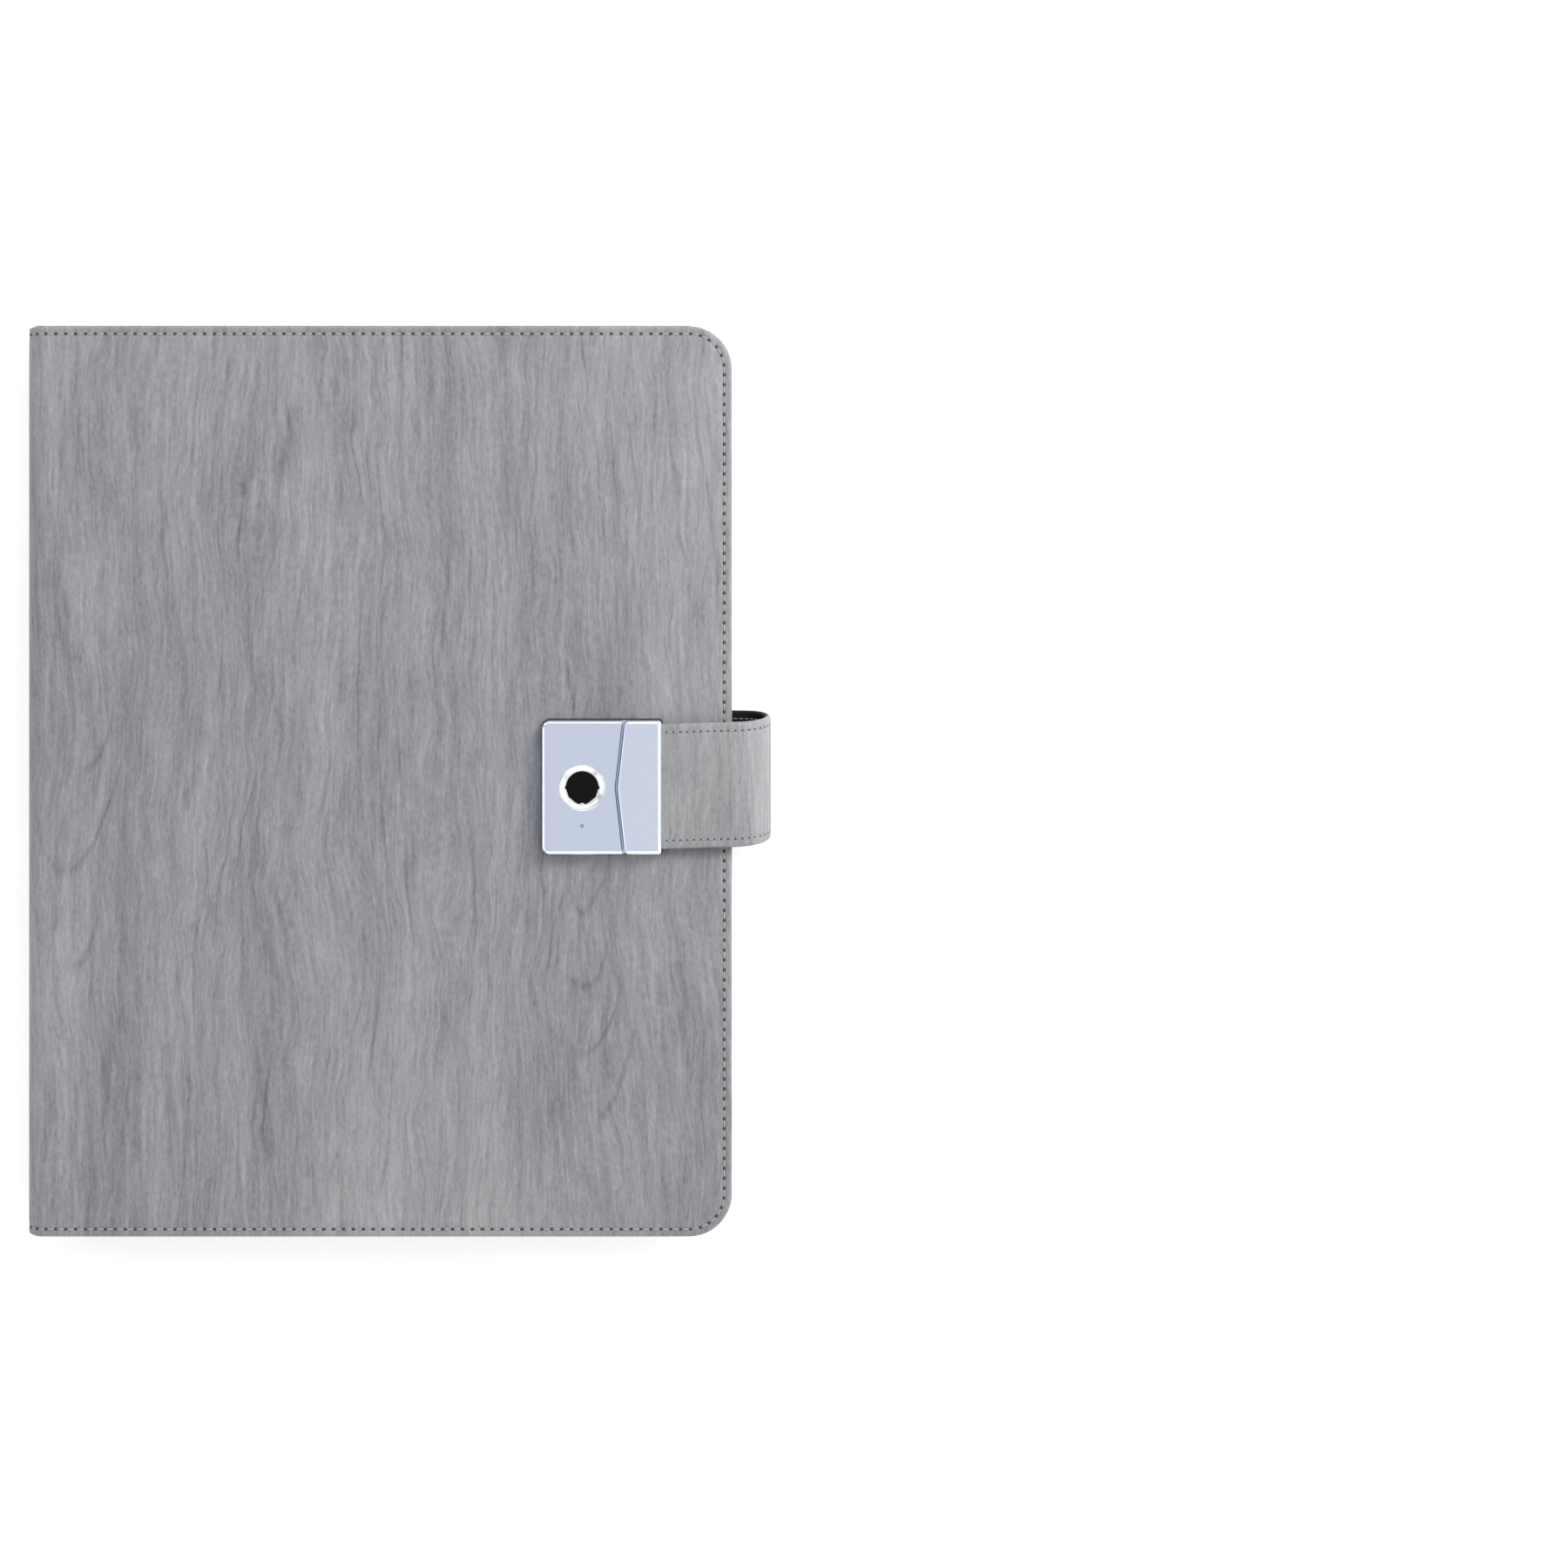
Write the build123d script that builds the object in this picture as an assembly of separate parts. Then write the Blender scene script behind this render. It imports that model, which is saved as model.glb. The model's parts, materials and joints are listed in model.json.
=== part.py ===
from build123d import *
import math
import os

# All sizes in millimetres. The folder lies on its back cover, spine at low X, fore-edge at high X,
# the front cover's face up. X is worked out from the spine's outer face and moved to centre at the end.

# Folder
folder_width = 250.0
folder_length = 322.0
folder_thickness = 30.0
leather = 1.0
board = 2.4
lining = 1.0
lining_overhang = 0.4
corner_radius = 15.3
edge_round = 0.9
spine_radius = 7.5

# Strap
strap_width = 44.0
strap_thickness = 2.5
strap_bend_inset = 1.5
strap_edge_gap = 0.1
strap_root_reach = 26.5

# Lock body on the front cover
lock_length = 42.0
lock_width = 47.0
lock_edge_gap = 25.0
lock_y = -1.75
lock_corner = 3.0
flange = 2.2
housing_height = 5.0
housing_roof = 1.0
housing_wall = 1.2
bevel = 0.9
parting_gap = 0.4

# Well of the lock base, let into the cover
well_left_margin = 3.0
well_right_margin = 3.3
well_side_margin = 3.25
well_wall = 1.2
well_floor = 0.6
well_corner = 1.5
well_play = 0.3
deck = 0.8
deck_reach = 18.5

# Tongue on the strap's end
tongue_reach_mid = 15.6
tongue_reach_corner = 13.0
tongue_plate = 0.8
tongue_gap = 0.3
tongue_roof = 1.7
tongue_wall = 1.2
tongue_corner = 1.5

# Sensor, bezel and light
sensor_inset = 14.2
sensor_radius = 5.95
sensor_recess = 1.1
sensor_base_width = 14.0
sensor_base = 1.8
bezel_radius = 8.25
bezel_rim = 0.3
bezel_depth = 2.0
bezel_proud = 0.08
fit_gap = 0.05
light_radius = 0.6
light_offset = 13.4

# Electronics
circuit_thickness = 0.8
circuit_overlap = 2.6
circuit_play = 0.3
chip_size = 5.0
chip_height = 1.0
battery_width = 8.2
battery_length = 27.0
battery_height = 4.0
battery_corner = 0.5
socket_width = 8.94
socket_height = 3.16
socket_depth = 7.3
socket_shell = 0.3
socket_corner = 1.2
socket_tongue_width = 6.4
socket_tongue_sheet = 0.7

# Latch
bolt_width = 6.0
bolt_thickness = 1.2
bolt_length = 15.1
bolt_play = 0.3
bolt_throw = 0.4
latch_travel = 3.2
striker_width = 9.0
striker_thickness = 2.4
striker_inset = 8.0
striker_lip = 1.4
striker_play = 0.3
striker_swing = 1.6
tenon_shoulder = 0.6
gear_module = 0.3
pinion_teeth = 8
pinion_width = 2.4
rack_width = 2.8
tooth_slack = 0.05
tooth_angle = 20.0
tooth_foot = 1.15
tooth_tip = 0.42
pinion_place = 3.5
motor_width = 4.0
motor_length = 9.0
gearbox_length = 3.5
motor_gap = 0.35
shaft_radius = 0.3
rail_height_gap = 0.1
rail_wall = 1.0
rail_ledge = 1.1
rail_length = 4.4
spring_length = 6.2
spring_radius = 0.75
spring_wire = 0.3
spring_turns = 4
spring_wire_sides = 4
spring_stop = 0.8

# Screws
screw_sides = 12
screw_radius = 1.0
screw_head_radius = 1.9
boss_radius = 2.1
boss_inset = 0.2
screw_tip_gap = 0.6
screw_recess = 0.8
screw_recess_depth = 0.75
backing_plate = 1.5
backing_margin = 1.5
tongue_screw_radius = 0.8
tongue_screw_head = 1.35
tongue_screw_recess = 0.65
tongue_screw_recess_depth = 0.4
tongue_screw_inset = 3.0
tongue_screw_pitch = 6.5
tongue_screw_spread = 32.0
tongue_screw_bite = 1.0

# Inside of the folder
pocket_sheet = 0.8
pocket_hem = 0.6
pocket_hem_width = 3.0
pocket_margin = 9.0
pocket_width = 120.0
pocket_length = 128.0
card_sheet = 0.6
card_width = 104.0
card_height = 62.0
card_step = 16.0
card_count = 3
card_margin = 20.0
pen_bore = 6.0
pen_wall = 1.0
pen_length = 60.0
pen_inset = 11.0
pen_offset = 80.0
pen_foot = 18.0

# Ring binder
ring_inset = 32.0
ring_pitch = 80.0
ring_count = 4
ring_wire = 1.2
ring_wire_sides = 8
ring_radius = 8.2
ring_lift = 8.2
ring_tip_gap = 0.15
ring_slot_play = 0.6
ring_cover_width = 20.0
ring_cover_length = 285.0
ring_cover_side = 2.6
ring_cover_rise = 3.0
ring_cover_sheet = 0.8
ring_cover_lip = 2.0
blade_sheet = 0.8
blade_play = 0.4
blade_tilt = 6.0
blade_height = 1.9
blade_end_gap = 11.5
rivet_radius = 1.75
rivet_head = 3.0
rivet_head_height = 1.2
rivet_inset = 5.5
hole_play = 0.1

# Worked out from the sizes above
cover = leather + board + lining
half_length = folder_length / 2
inner_z = folder_thickness - cover
flange_top = folder_thickness + flange
housing_top = flange_top + housing_height
tongue_z = flange_top + tongue_gap
strap_z = tongue_z + tongue_plate
strap_top = strap_z + strap_thickness
tongue_top = strap_top + tongue_roof
strap_bend_x = folder_width - strap_bend_inset
strap_outer = (strap_top - cover) / 2
strap_inner = strap_outer - strap_thickness
strap_centre_z = cover + strap_outer
overall_width = strap_bend_x + strap_outer
strap_hinge_x = folder_width + strap_edge_gap
strap_split = math.degrees(math.asin((strap_hinge_x - strap_bend_x) / strap_outer))
lock_right = folder_width - lock_edge_gap
lock_left = lock_right - lock_length
lock_low = lock_y - lock_width / 2
lock_high = lock_y + lock_width / 2
well_z = folder_thickness - leather - board
well_floor_z = well_z + well_floor
deck_z = flange_top - deck
well_left = lock_left + well_left_margin
well_right = lock_right - well_right_margin
well_low = lock_low + well_side_margin
well_high = lock_high - well_side_margin
deck_left = lock_right - deck_reach
sensor_x = lock_left + sensor_inset
circuit_top = flange_top + circuit_thickness
striker_x = lock_right - striker_inset
bolt_top = deck_z - bolt_play
bolt_z = bolt_top - bolt_thickness
bolt_right = striker_x + striker_thickness / 2 + bolt_throw
bolt_left = bolt_right - bolt_length
pitch_radius = gear_module * pinion_teeth / 2
tooth_root = 1.25 * gear_module
pinion_x = bolt_left + pinion_place
pinion_z = bolt_z + gear_module - pitch_radius
ring_z = cover + ring_lift
blade_z = cover + blade_height
ring_cover_top = cover + ring_cover_side + ring_cover_rise


def block(x0, x1, y0, y1, z0, z1):
    """A box between two corners."""
    return Pos((x0 + x1) / 2, (y0 + y1) / 2, (z0 + z1) / 2) * Box(x1 - x0, y1 - y0, z1 - z0)


def sheet(x0, x1, y0, y1, z0, z1, left_radius=0.0, right_radius=0.0):
    """A flat plate whose left and right corners have their own radii."""
    face = Pos((x0 + x1) / 2, (y0 + y1) / 2, z0) * Rectangle(x1 - x0, y1 - y0)
    corners = face.vertices().sort_by(Axis.X)
    if left_radius > 0:
        face = fillet(corners[:2], left_radius)
        corners = face.vertices().sort_by(Axis.X)
    if right_radius > 0:
        face = fillet(corners[-2:], right_radius)
    return extrude(face, z1 - z0, dir=(0, 0, 1))


def along_y(face, y0, y1):
    """A section drawn in X and Z, carried from one Y to another."""
    return extrude(Plane.XZ.offset(-y1) * face, y1 - y0)


def pin(x, y, z0, z1, radius, top_radius=None):
    """An upright pin or cone."""
    if top_radius is None:
        return Pos(x, y, (z0 + z1) / 2) * Cylinder(radius, z1 - z0)
    return Pos(x, y, (z0 + z1) / 2) * Cone(radius, top_radius, z1 - z0)


def many_sided(x, y, z0, z1, radius, top_radius=None):
    """An upright pin or cone with flat sides, for small pieces and their holes."""
    foot = Pos(x, y, z0) * RegularPolygon(radius, screw_sides)
    if top_radius is None:
        return extrude(foot, z1 - z0, dir=(0, 0, 1))
    lean = (radius - top_radius) * math.cos(math.pi / screw_sides) / (z1 - z0)
    return extrude(foot, z1 - z0, dir=(0, 0, 1), taper=math.degrees(math.atan(lean)))


def to_front(shape):
    """The same piece on the front cover, face up."""
    return mirror(shape, about=Plane.XY.offset(folder_thickness / 2))


def group(pieces):
    """Separate solids kept as one shape."""
    return Compound(children=[solid for piece in pieces for solid in piece.solids()])


# Covers, drawn for the back cover and turned over for the front

def cover_leather():
    """Leather face with its edge turned up round the board."""
    pan = sheet(spine_radius, folder_width, -half_length, half_length, 0, leather + board, 0, corner_radius)
    outside = pan.faces().sort_by(Axis.Z)[0].edges().filter_by(
        lambda edge: edge.center().X > spine_radius + leather)
    pan = fillet(outside, edge_round)
    return pan - cover_board()


def cover_board():
    """Board inside the turned leather, open to the crease."""
    return sheet(spine_radius, folder_width - leather, leather - half_length, half_length - leather,
                 leather, leather + board, 0, corner_radius - leather)


def cover_lining():
    """Lining, a little longer than the leather at both ends."""
    reach = half_length + lining_overhang
    return sheet(spine_radius, folder_width, -reach, reach, leather + board, cover, 0, corner_radius)


def lock_cutout():
    """Room in the front cover for the well of the lock base."""
    return sheet(well_left - well_play, well_right + well_play, well_low - well_play,
                 well_high + well_play, well_z, folder_thickness, well_corner, well_corner)


def lock_screw_places():
    """Centres of the four screws, in the corners of the well."""
    inset = well_wall + boss_radius - boss_inset
    return [(x, y) for x in (well_left + inset, well_right - inset)
            for y in (well_low + inset, well_high - inset)]


def front_cover_lining():
    shape = to_front(cover_lining())
    for x, y in lock_screw_places():
        shape -= many_sided(x, y, inner_z, well_z, screw_radius + hole_play)
    return shape


def rivet_places():
    reach = ring_cover_length / 2 - rivet_inset
    return [-reach, reach]


def back_cover_sheet(shape):
    """A layer of the back cover with the holes for the binder's rivets."""
    for y in rivet_places():
        shape -= many_sided(ring_inset, y, leather, cover, rivet_radius + hole_play)
    return shape


# Spine and creases

def spine_leather():
    low, high = spine_radius, folder_thickness - spine_radius
    shape = block(0, leather + board, -half_length, half_length, low, high)
    return shape - spine_board()


def spine_board():
    return block(leather, leather + board, leather - half_length, half_length - leather,
                 spine_radius, folder_thickness - spine_radius)


def spine_lining():
    reach = half_length + lining_overhang
    return block(leather + board, cover, -reach, reach, spine_radius, folder_thickness - spine_radius)


def back_crease():
    """Leather and lining with no board, bent through a quarter turn."""
    ring = Circle(spine_radius) - Circle(spine_radius - leather - lining)
    quarter = ring & (Pos(-spine_radius / 2, -spine_radius / 2) * Rectangle(spine_radius, spine_radius))
    return along_y(Pos(spine_radius, spine_radius) * quarter, -half_length, half_length)


# Strap

def strap_low():
    return lock_y - strap_width / 2


def strap_run(x0, x1, z0):
    return block(x0, x1, strap_low(), strap_low() + strap_width, z0, z0 + strap_thickness)


def strap_bend(start, end):
    """A stretch of the loop between two angles, 0 at its middle and -90 at its foot."""
    outer = CenterArc((0, 0), strap_outer, start, end - start)
    inner = CenterArc((0, 0), strap_inner, start, end - start)
    face = make_face([outer, Line(outer @ 1, inner @ 1), inner, Line(inner @ 0, outer @ 0)])
    return along_y(Pos(strap_bend_x, strap_centre_z) * face, strap_low(), strap_low() + strap_width)


def strap_root():
    """Run sewn to the back cover, as far as the fold just past the cover's edge."""
    run = strap_run(strap_bend_x - strap_root_reach, strap_bend_x, cover)
    return run + strap_bend(-90, strap_split - 90)


def strap_front():
    end = lock_right - tongue_reach_corner + tongue_wall + fit_gap
    shape = strap_run(end, strap_bend_x, strap_z)
    for x, y in tongue_screw_places():
        shape -= many_sided(x, y, strap_z, strap_top, tongue_screw_radius + hole_play)
    return shape


# Lock base, housing and what they hold

def well_inner(z0, z1):
    """The room inside the well."""
    return block(well_left + well_wall, well_right - well_wall, well_low + well_wall,
                 well_high - well_wall, z0, z1)


def bolt_rails():
    """Ledges and side guides that carry the latch bolt, left of the striker's slot."""
    right = striker_x - striker_thickness / 2 - striker_play - hole_play
    half = bolt_width / 2
    shape = None
    for side in (-1, 1):
        inner = lock_y + side * (half - rail_ledge)
        wall = lock_y + side * (half + rail_height_gap)
        outer = wall + side * rail_wall
        ledge = block(right - rail_length, right, min(inner, outer), max(inner, outer),
                      well_floor_z, bolt_z - rail_height_gap)
        guide = block(right - rail_length, right, min(wall, outer), max(wall, outer),
                      well_floor_z, deck_z)
        shape = ledge + guide if shape is None else shape + ledge + guide
    return shape


def striker_slot(z0, z1):
    """The slot in the deck, with room on the right for the tongue's swing."""
    half = striker_width / 2 + striker_play
    return block(striker_x - striker_thickness / 2 - striker_play,
                 striker_x + striker_thickness / 2 + striker_swing,
                 lock_y - half, lock_y + half, z0, z1)


def lock_base():
    """Flange on the cover with a well below it, decked over where the tongue docks."""
    shape = sheet(lock_left, lock_right, lock_low, lock_high, folder_thickness, flange_top,
                  lock_corner, tongue_corner)
    shape += sheet(well_left, well_right, well_low, well_high, well_z, folder_thickness,
                   well_corner, well_corner)
    shape -= well_inner(well_floor_z, deck_z)
    shape -= block(well_left + well_wall, deck_left, well_low + well_wall, well_high - well_wall,
                   deck_z, flange_top)
    for x, y in lock_screw_places():
        shape += many_sided(x, y, well_floor_z, deck_z, boss_radius)
    for x, y in lock_screw_places():
        shape -= many_sided(x, y, well_z, deck_z - screw_tip_gap / 2, screw_radius + hole_play)
    spring_seat = bolt_left - spring_length
    half = bolt_width / 2
    shape += block(spring_seat - spring_stop, spring_seat, lock_y - half, lock_y + half,
                   well_floor_z, bolt_top)
    shape += bolt_rails()
    return shape - striker_slot(deck_z, flange_top)


def vee_face(x0, mid_x, corner_x, half_width, left_radius):
    """Outline of the housing: square on the left, with a shallow vee on the right."""
    outline = Polyline((x0, lock_y - half_width), (corner_x, lock_y - half_width), (mid_x, lock_y),
                       (corner_x, lock_y + half_width), (x0, lock_y + half_width), close=True)
    face = make_face(outline)
    if left_radius > 0:
        face = fillet(face.vertices().sort_by(Axis.X)[:2], left_radius)
    return face


def lock_housing():
    """Cap over the electronics, its right edge a shallow vee beside the tongue."""
    mid = lock_right - tongue_reach_mid - parting_gap
    corner = lock_right - tongue_reach_corner - parting_gap
    half = lock_width / 2
    shape = extrude(Pos(0, 0, flange_top) * vee_face(lock_left, mid, corner, half, lock_corner),
                    housing_height, dir=(0, 0, 1))
    shape = chamfer(shape.faces().sort_by(Axis.Z)[-1].edges(), bevel)
    room = vee_face(lock_left + housing_wall, mid - housing_wall, corner - housing_wall,
                    half - housing_wall, lock_corner - housing_wall)
    shape -= extrude(Pos(0, 0, flange_top) * room, housing_height - housing_roof, dir=(0, 0, 1))
    shape -= pin(sensor_x, lock_y, housing_top - bezel_depth, housing_top, bezel_radius + fit_gap)
    shape -= many_sided(sensor_x, lock_y - light_offset, flange_top, housing_top,
                        light_radius + fit_gap)
    half_socket = socket_width / 2 + fit_gap
    return shape - block(sensor_x - half_socket, sensor_x + half_socket, lock_low,
                         lock_low + housing_wall, circuit_top, circuit_top + socket_height + fit_gap)


def sensor_bezel():
    """Bright dished ring that leads the finger to the sensor."""
    top = housing_top + bezel_proud
    seat = housing_top - sensor_recess
    shape = pin(sensor_x, lock_y, housing_top - bezel_depth, top, bezel_radius)
    opening = sensor_radius + fit_gap
    shape -= pin(sensor_x, lock_y, housing_top - bezel_depth, seat, opening)
    return shape - pin(sensor_x, lock_y, seat, top, opening, bezel_radius - bezel_rim)


def fingerprint_sensor():
    """Round sensor on a square foot that stands on the circuit board."""
    half = sensor_base_width / 2
    shape = block(sensor_x - half, sensor_x + half, lock_y - half, lock_y + half, circuit_top,
                  circuit_top + sensor_base)
    return shape + pin(sensor_x, lock_y, circuit_top + sensor_base, housing_top - sensor_recess,
                       sensor_radius)


def led_light_pipe():
    return many_sided(sensor_x, lock_y - light_offset, circuit_top, housing_top, light_radius)


def circuit_board():
    """Board that lies on the flange round the well, with a chip on top."""
    right = lock_right - tongue_reach_mid - parting_gap - housing_wall - circuit_play
    shape = block(well_left + well_wall - circuit_overlap, right,
                  well_low + well_wall - circuit_overlap, well_high - well_wall + circuit_overlap,
                  flange_top, circuit_top)
    chip_y = lock_y + sensor_base_width / 2 + chip_size
    return shape + block(sensor_x - chip_size, sensor_x, chip_y, chip_y + chip_size,
                         circuit_top, circuit_top + chip_height)


def battery():
    x0 = well_left + well_wall + fit_gap
    shape = block(x0, x0 + battery_width, lock_y - battery_length / 2, lock_y + battery_length / 2,
                  well_floor_z, well_floor_z + battery_height)
    return fillet(shape.edges().filter_by(Axis.Y), battery_corner)


def usb_socket():
    """Charging socket: an open shell with its contact tongue."""
    low = lock_low + fit_gap
    outer = RectangleRounded(socket_width, socket_height, socket_corner)
    inner = RectangleRounded(socket_width - 2 * socket_shell, socket_height - 2 * socket_shell,
                             socket_corner - socket_shell)
    centre = Pos(sensor_x, circuit_top + socket_height / 2)
    shape = along_y(centre * outer, low, low + socket_depth)
    shape -= along_y(centre * inner, low, low + socket_depth - socket_shell)
    tongue = centre * Rectangle(socket_tongue_width, socket_tongue_sheet)
    return shape + along_y(tongue, low + socket_shell, low + socket_depth)


def lock_backing_plate():
    """Plate inside the cover that the screws draw the lock base against."""
    x0, x1 = well_left - backing_margin, well_right + backing_margin
    y0, y1 = well_low - backing_margin, well_high + backing_margin
    shape = sheet(x0, x1, y0, y1, inner_z - backing_plate, inner_z, lock_corner, lock_corner)
    shape = chamfer(shape.faces().sort_by(Axis.Z)[0].edges(), backing_plate / 3)
    for x, y in lock_screw_places():
        shape -= many_sided(x, y, inner_z - backing_plate, inner_z, screw_head_radius + hole_play,
                            screw_radius + hole_play)
    return shape


def lock_screws():
    """Four countersunk screws with a hexagon recess."""
    pieces = []
    low = inner_z - backing_plate
    for x, y in lock_screw_places():
        screw = many_sided(x, y, low, inner_z, screw_head_radius, screw_radius)
        screw += many_sided(x, y, inner_z, deck_z - screw_tip_gap, screw_radius)
        recess = Pos(x, y, low) * RegularPolygon(screw_recess, 6)
        pieces.append(screw - extrude(recess, screw_recess_depth, dir=(0, 0, 1)))
    return group(pieces)


# Latch

def rack_tooth(height, slack):
    """Section of one straight-sided tooth, pointing down from the pitch line."""
    half = math.pi * gear_module / 4 - slack
    slope = math.tan(math.radians(tooth_angle))
    top = half + tooth_root * slope
    tip = half - height * slope
    return make_face(Polyline((-top, tooth_root), (-tip, -height), (tip, -height), (top, tooth_root),
                              close=True))


def latch_bolt():
    """Sliding bolt with a bevelled nose, and a rack in its underside over the pinion."""
    half = bolt_width / 2
    shape = block(bolt_left, bolt_right, lock_y - half, lock_y + half, bolt_z, bolt_top)
    nose = shape.edges().filter_by(Axis.Y).sort_by(lambda edge: edge.center().X - edge.center().Z)[-1]
    shape = chamfer(nose, bolt_thickness / 3)
    pitch_z = bolt_z + gear_module
    pitch = math.pi * gear_module
    rack_start = pinion_x - 2 * pitch
    rack_end = pinion_x + latch_travel + 2 * pitch
    low, high = lock_y - rack_width / 2, lock_y + rack_width / 2
    shape -= block(rack_start, rack_end, low, high, bolt_z, pitch_z + tooth_root)
    for i in range(-1, int((rack_end - pinion_x) / pitch)):
        face = Pos(pinion_x + (i + 0.5) * pitch, pitch_z) * rack_tooth(gear_module, tooth_slack)
        shape += along_y(face, low, high)
    return shape


def motor_low():
    return lock_y + bolt_width / 2 + motor_gap


def motor_pinion():
    """Small pinion on a stub of shaft, one tooth upright between two rack teeth."""
    root_radius = pitch_radius - tooth_root
    tip_radius = pitch_radius + gear_module
    half_pitch = math.pi * gear_module / 4 - tooth_slack
    face = Circle(root_radius)
    root_half = half_pitch * tooth_foot
    tip_half = half_pitch * tooth_tip
    for i in range(pinion_teeth):
        tooth = make_face(Polyline((-root_half, 0), (-half_pitch, pitch_radius), (-tip_half, tip_radius),
                                   (tip_half, tip_radius), (half_pitch, pitch_radius), (root_half, 0),
                                   close=True))
        face += Rot(0, 0, i * 360 / pinion_teeth) * tooth
    low, high = lock_y - pinion_width / 2, lock_y + pinion_width / 2
    shape = along_y(Pos(pinion_x, pinion_z) * face, low, high)
    stub = along_y(Pos(pinion_x, pinion_z) * Circle(shaft_radius), high, motor_low() - motor_gap / 2)
    return shape + stub


def latch_motor():
    """Round motor with two flats and a square gearbox, lying beside the bolt in the well."""
    flat = pinion_z - well_floor_z
    gearbox = Rectangle(motor_width, 2 * flat)
    start = motor_low()
    shape = along_y(Pos(pinion_x, pinion_z) * gearbox, start, start + gearbox_length)
    can = Circle(motor_width / 2) & Rectangle(motor_width, 2 * flat)
    return shape + along_y(Pos(pinion_x, pinion_z) * can, start + gearbox_length, start + motor_length)


def latch_spring():
    """Compression spring of square wire between the bolt's tail and its stop."""
    axis_z = (bolt_z + bolt_top) / 2
    pitch = (spring_length - 2 * spring_wire) / spring_turns
    start = bolt_left - spring_length + spring_wire
    path = Helix(pitch=pitch, height=pitch * spring_turns, radius=spring_radius)
    section = RegularPolygon(spring_wire / 2, spring_wire_sides)
    wire = sweep(Plane(path @ 0, z_dir=path % 0) * section, path=path, is_frenet=True)
    return Pos(start, lock_y, axis_z) * Rot(0, 90, 0) * wire


# Tongue

def tongue_screw_places():
    x = lock_right - tongue_screw_inset
    half = tongue_screw_spread / 2
    return [(x - i * tongue_screw_pitch, lock_y + side * half) for i in (0, 1) for side in (-1, 1)]


def tongue_body(z0, z1):
    """The tongue's outline, with its shallow vee towards the housing."""
    outline = Polyline((lock_right, lock_low), (lock_right, lock_high),
                       (lock_right - tongue_reach_corner, lock_high),
                       (lock_right - tongue_reach_mid, lock_y),
                       (lock_right - tongue_reach_corner, lock_low), close=True)
    face = make_face(outline)
    corners = [v for v in face.vertices() if abs(v.Y - lock_y) > lock_width / 4]
    return extrude(Pos(0, 0, z0) * fillet(corners, tongue_corner), z1 - z0, dir=(0, 0, 1))


def tongue_cover():
    """Metal cap that grips the strap's end, bevelled all round its top."""
    shape = tongue_body(strap_z, tongue_top)
    shape = chamfer(shape.faces().sort_by(Axis.Z)[-1].edges(), bevel)
    low = strap_low() - fit_gap
    room = block(lock_right - tongue_reach_corner + tongue_wall, lock_right,
                 low, low + strap_width + 2 * fit_gap, strap_z, strap_top)
    shape -= room
    for x, y in tongue_screw_places():
        shape -= many_sided(x, y, strap_top, strap_top + tongue_screw_bite + hole_play,
                            tongue_screw_radius + hole_play)
    return shape


def striker_tenon(z0, z1, play):
    half_x = striker_thickness / 2 - tenon_shoulder + play
    half_y = striker_width / 2 - 2 * tenon_shoulder + play
    return block(striker_x - half_x, striker_x + half_x, lock_y - half_y, lock_y + half_y, z0, z1)


def tongue_back_plate():
    shape = tongue_body(tongue_z, strap_z)
    for x, y in tongue_screw_places():
        shape -= many_sided(x, y, tongue_z, strap_z, tongue_screw_head + hole_play,
                            tongue_screw_radius + hole_play)
    return shape - striker_tenon(tongue_z, strap_z, fit_gap)


def striker():
    """Post under the tongue with the window that the bolt enters."""
    half = striker_width / 2
    low = bolt_z - bolt_play - striker_lip
    x0, x1 = striker_x - striker_thickness / 2, striker_x + striker_thickness / 2
    shape = block(x0, x1, lock_y - half, lock_y + half, low, tongue_z)
    shape = chamfer(shape.faces().sort_by(Axis.Z)[0].edges().filter_by(Axis.Y), striker_thickness / 6)
    window = bolt_width / 2 + striker_play
    shape -= block(x0, x1, lock_y - window, lock_y + window, bolt_z - bolt_play, bolt_top + bolt_play)
    return shape + striker_tenon(tongue_z, strap_z, 0)


def tongue_screws():
    pieces = []
    for x, y in tongue_screw_places():
        screw = many_sided(x, y, tongue_z, strap_z, tongue_screw_head, tongue_screw_radius)
        screw += many_sided(x, y, strap_z, strap_top + tongue_screw_bite, tongue_screw_radius)
        recess = Pos(x, y, tongue_z) * RegularPolygon(tongue_screw_recess, 6)
        pieces.append(screw - extrude(recess, tongue_screw_recess_depth, dir=(0, 0, 1)))
    return group(pieces)


# Inside of the folder

def document_pocket():
    """Flat pocket on the front cover's lining, sewn on three sides and open at its top."""
    x1 = lock_left - pocket_margin
    x0 = x1 - pocket_width
    y0 = -half_length + pocket_margin
    y1 = y0 + pocket_length
    shape = sheet(x0, x1, y0, y1, inner_z - pocket_hem - pocket_sheet, inner_z, pocket_hem_width,
                  pocket_hem_width)
    return shape - block(x0 + pocket_hem_width, x1 - pocket_hem_width, y0 + pocket_hem_width, y1,
                         inner_z - pocket_hem, inner_z)


def card_pockets():
    """Stepped card pockets above the document pocket, the lowest outermost."""
    x1 = lock_left - card_margin
    x0 = x1 - card_width
    shape = None
    for i in range(card_count):
        y1 = half_length - card_margin - i * card_step
        y0 = half_length - card_margin - (card_count - 1) * card_step - card_height
        z1 = inner_z - i * card_sheet
        strip = block(x0, x1, y0, y1, z1 - card_sheet, z1)
        shape = strip if shape is None else shape + strip
    return shape


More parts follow.
